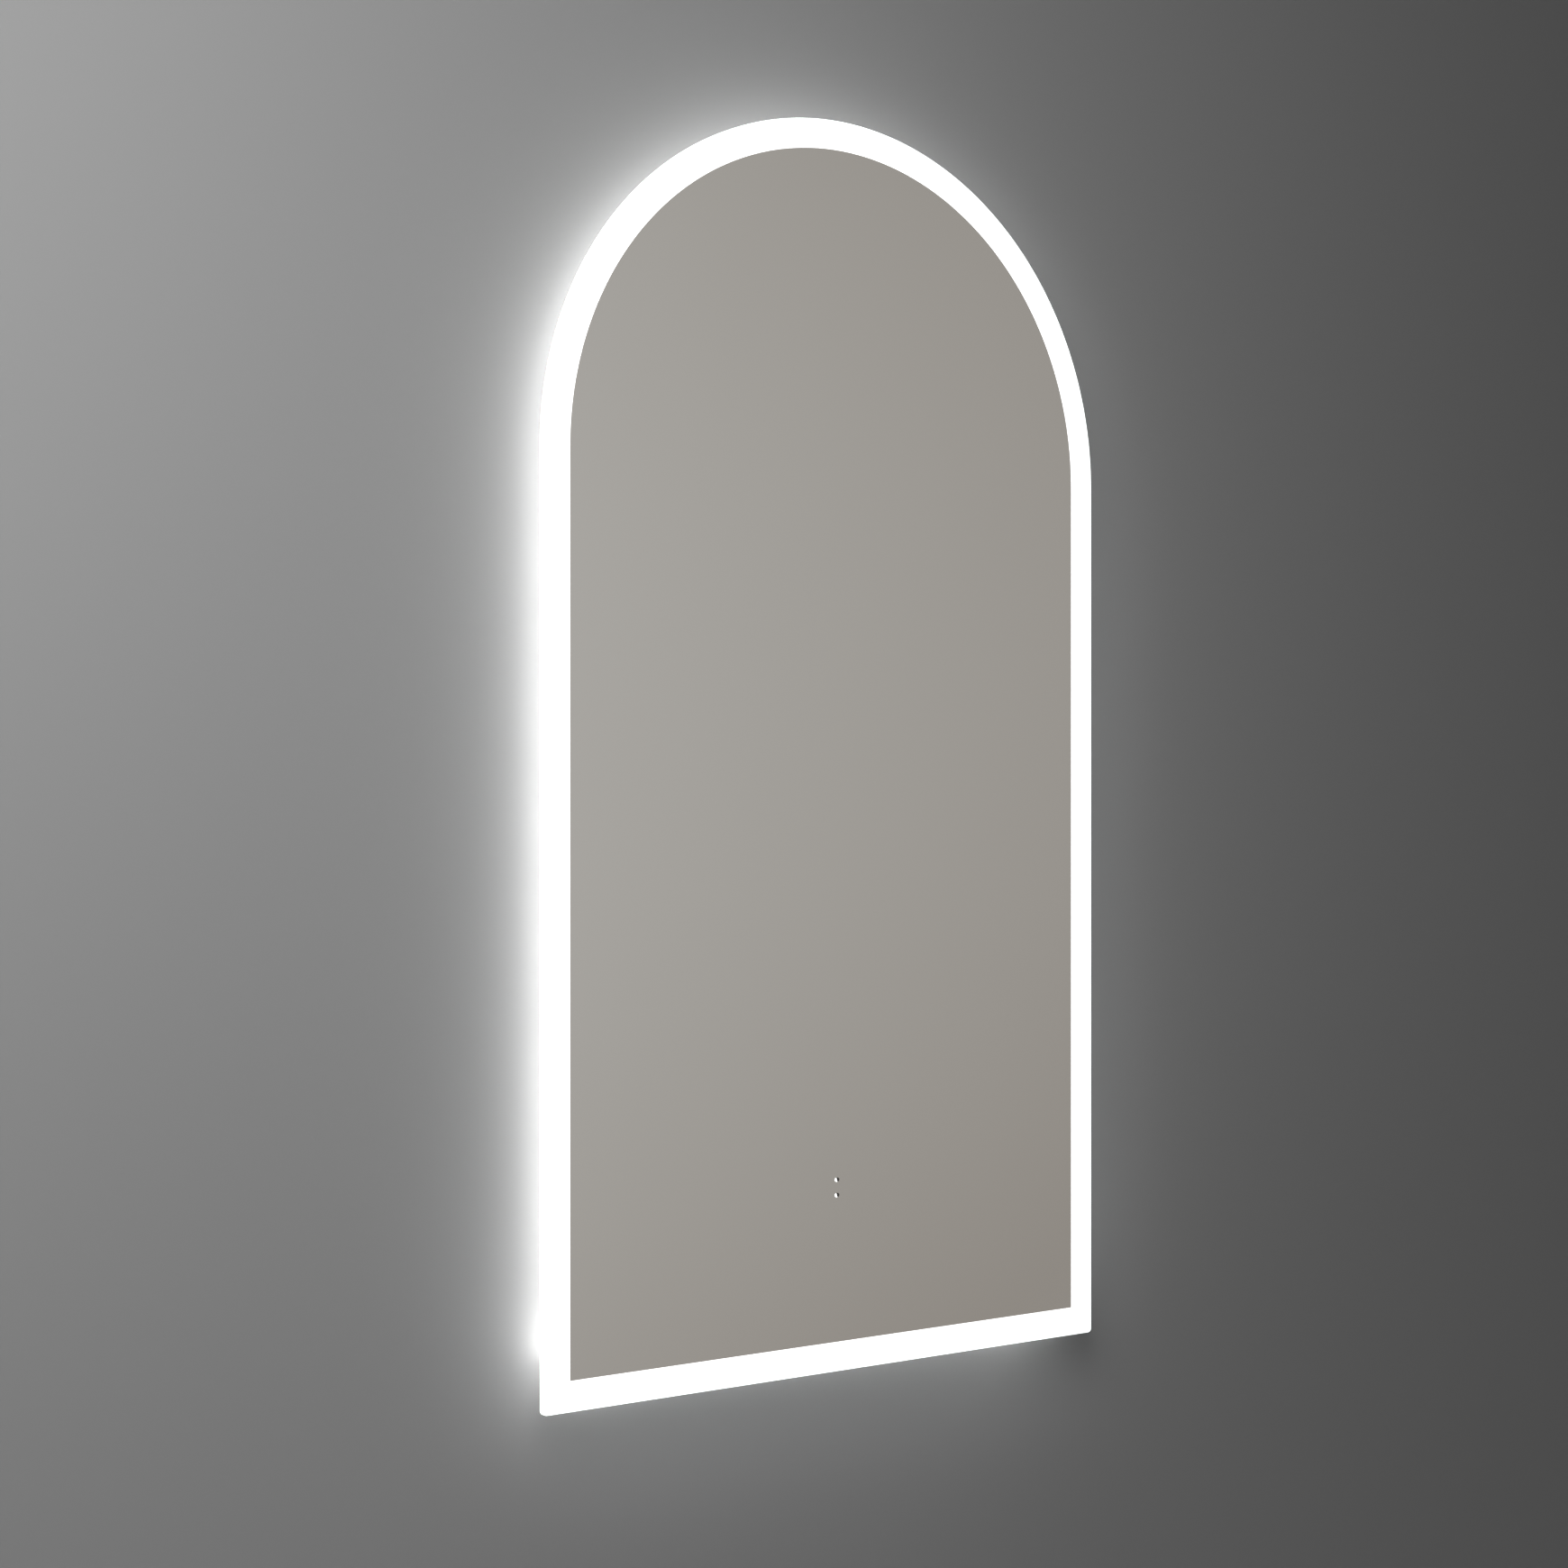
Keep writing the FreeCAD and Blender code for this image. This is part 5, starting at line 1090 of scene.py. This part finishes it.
@dataclass
class Surroundings:
    """The light from all round: what falls on things, what shiny things show and what the camera sees."""

    front: Colour = (0.052, 0.053, 0.054)  # light that falls from in front of the wall
    behind: Colour = (0.30, 0.306, 0.312)  # light that falls from behind it
    edge: Pair = (-0.1, 0.1)  # Y of a direction where front ends, and where behind starts
    # what a shiny thing shows of the room, where it is lightest and where it is darkest
    room: tuple[Colour, Colour] = ((0.392, 0.376, 0.355), (0.273, 0.251, 0.227))
    silver: float = 0.93  # share of the light that the mirror face keeps, which the shown light makes up for
    turns: Pair = (28.0, 50.0)  # degrees to the right where the room's darkening starts, and where it ends
    shares: Pair = (-0.334, 1.083)  # the darkening there
    level: float = 2.73  # degrees up where the room is lightest
    bowl: float = 0.00273  # what a degree from there, squared, adds to the darkening
    most: float = 0.6  # the most that height adds
    # what a shiny thing shows of what is behind the wall, low down and high up
    soft: tuple[Colour, Colour] = ((0.48, 0.48, 0.48), (0.90, 0.90, 0.89))
    heights: Pair = (-0.5, 0.7)  # Z of a direction for low down and for high up

    def shown(self, graph: Graph, behind: Socket) -> Socket:
        """What shiny things show: a room that darkens to the right, up and down, and a soft rise behind.

        Args:
            graph: The world's graph.
            behind: 1 for directions from behind the wall.

        Returns:
            The colour's socket.
        """
        degrees = 180.0 / math.pi
        x, y, z = graph.apart(graph.add("TexCoord").outputs["Generated"])
        forth = graph.times(y, -1.0)
        turn = graph.times(graph.sum("ARCTAN2", x, forth), degrees)
        rise = graph.times(graph.sum("ARCSINE", z), degrees)
        lift = graph.sum("SUBTRACT", rise, self.level)
        squared = graph.times(graph.times(lift, lift), self.bowl)
        dark = graph.sum("ADD", graph.span(turn, *self.turns, *self.shares),
                         graph.sum("MINIMUM", squared, self.most))
        room, soft = ([shade(colour, 1.0) for colour in pair] for pair in (self.room, self.soft))
        near = graph.tint(graph.span(dark, 0.0, 1.0), *room)
        return graph.tint(behind, near, graph.tint(graph.span(z, *self.heights), *soft))

    def build(self) -> None:
        """Makes the world and mixes its three lights by the kind of ray."""
        world = bpy.data.worlds.new("studio light")
        bpy.context.scene.world = world
        world.use_nodes = True
        world.node_tree.nodes.clear()
        graph = Graph(world.node_tree)
        y = graph.apart(graph.add("TexCoord").outputs["Generated"])[1]
        behind = graph.span(y, *self.edge)
        even = graph.tint(behind, shade(self.front, 1.0), shade(self.behind, 1.0))
        lights = ((even, 1.0), (PALE, 1.0), (self.shown(graph, behind), 1.0 / self.silver))
        even, pale, room = (
            graph.add("Background", {"Color": colour, "Strength": strength}).outputs[0]
            for colour, strength in lights
        )
        path = graph.add("LightPath").outputs
        shiny = graph.sum("MAXIMUM", path["Is Glossy Ray"], path["Is Transmission Ray"])
        first = graph.add("MixShader", {0: path["Is Camera Ray"], 1: even, 2: pale}).outputs[0]
        last = graph.add("MixShader", {0: shiny, 1: first, 2: room}).outputs[0]
        graph.feed(graph.add("OutputWorld").inputs["Surface"], last)


@dataclass
class Studio:
    """A plain wall and floor, soft lamps, the light from all round, and the camera."""

    floor: float = -1.45  # height of the floor
    floor_reach: float = 40.0  # how far the floor reaches each way
    floor_paint: float = 0.36  # how light the floor is
    floor_own: float = 0.85  # share of the floor that the camera sees in its own pale light
    reach: float = 7.0  # how far the wall reaches to the left and up
    wall_right: float = 1.0  # how far it reaches to the right
    wall_y: float = 0.0008  # Y of the wall, just behind the part's own wall plane
    wall_paint: float = 0.30  # how light the wall is
    matt: float = 0.9  # roughness of both paints
    lens: float = 67.32  # focal length in millimetres
    sensor: float = 36.0  # width of the camera's sensor in millimetres
    clip: Pair = (0.01, 50.0)  # nearest and farthest distance that the camera sees
    camera_place: Place = (-1.3093, -1.6907, -0.1873)  # where the camera stands
    camera_turn: float = -37.30  # degrees to the left, so that below zero is to the right
    lamps: tuple[Lamp, ...] = (
        Lamp("left lamp", (-1.124, -1.051, 0.471), (-0.852, 0.0, -0.102), 1.1, 22.5),
        Lamp("back left lamp", (-1.6, 1.9, 1.2), (0.0, 0.0, -0.16), 1.4, 40.0),
        Lamp("back right lamp", (1.7, 1.6, 0.4), (0.0, 0.0, -0.16), 1.4, 34.0),
    )

    def sheet(self, name: str, corners: Sequence[Place], material: bpy.types.Material) -> bpy.types.Object:
        """Lays one flat stage sheet, which shows in no metal.

        Args:
            name: The sheet's name.
            corners: Its four corners in a ring.
            material: Its paint.

        Returns:
            The sheet.
        """
        mesh = bpy.data.meshes.new(name)
        mesh.from_pydata(corners, [], [(0, 1, 2, 3)])
        mesh.materials.append(material)
        piece = bpy.data.objects.new(name, mesh)
        piece.visible_glossy = False
        bpy.context.scene.collection.objects.link(piece)
        return piece

    def paint(self, name: str, light: float, one_sided: bool) -> bpy.types.Material:
        """Mixes a matt stage paint.

        Args:
            name: The material's name.
            light: How light the paint is.
            one_sided: Lets rays through from behind. Otherwise the camera sees part of it in its own
                light, so that it looks pale and still takes a shadow.

        Returns:
            The material.
        """
        made = bpy.data.materials.new(name)
        made.use_nodes = True
        graph = Graph(made.node_tree)
        shader = made.node_tree.nodes["Principled BSDF"]
        shader.inputs["Base Color"].default_value = (light, light, light, 1.0)
        shader.inputs["Roughness"].default_value = self.matt
        if one_sided:
            share = graph.add("NewGeometry").outputs["Backfacing"]
            other = graph.add("BsdfTransparent").outputs[0]
        else:
            share = graph.times(graph.add("LightPath").outputs["Is Camera Ray"], self.floor_own)
            other = graph.add("Emission", {"Color": PALE, "Strength": 1.0}).outputs[0]
        mixed = graph.add("MixShader", {0: share, 1: shader.outputs[0], 2: other}).outputs[0]
        graph.feed(made.node_tree.nodes["Material Output"].inputs["Surface"], mixed)
        return made

    def build_stage(self) -> None:
        """Lays the floor and the wall, which is open from behind and throws no shadow."""
        r, low, y = self.floor_reach, self.floor, self.wall_y
        self.sheet("floor", [(-r, -r, low), (r, -r, low), (r, r, low), (-r, r, low)],
                   self.paint("floor paint", self.floor_paint, False))
        left, right, top = -self.reach, self.wall_right, self.reach
        wall = self.sheet("wall", [(left, y, low), (right, y, low), (right, y, top), (left, y, top)],
                          self.paint("wall paint", self.wall_paint, True))
        wall.visible_shadow = False

    def set_camera(self) -> None:
        """Stands the camera where the photograph was taken from: level, turned to the mirror's right."""
        data = bpy.data.cameras.new("camera")
        data.lens, data.sensor_width = self.lens, self.sensor
        data.clip_start, data.clip_end = self.clip
        camera = bpy.data.objects.new("camera", data)
        camera.location = self.camera_place
        camera.rotation_euler = (math.pi / 2, 0.0, math.radians(self.camera_turn))
        bpy.context.scene.collection.objects.link(camera)
        bpy.context.scene.camera = camera

    def build(self) -> None:
        """Sets camera, stage, lamps and the light from all round."""
        self.set_camera()
        self.build_stage()
        Surroundings().build()
        for lamp in self.lamps:
            lamp.hang()
        bpy.context.scene.view_settings.view_transform = "Standard"


def main() -> None:
    """Sets up the studio, then builds and dresses the sub-assemblies in order."""
    logging.basicConfig(level=logging.INFO, format="%(name)s %(message)s")
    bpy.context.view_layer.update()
    Studio().build()
    pane, demister = MirrorPane(), Demister()
    pane.build()
    demister.build()
    for group in (pane, LightFrame(), Hanging(), DriverBox(), demister, TouchSensor(), Leads()):
        group.dress()


if __name__ == "__main__":
    main()
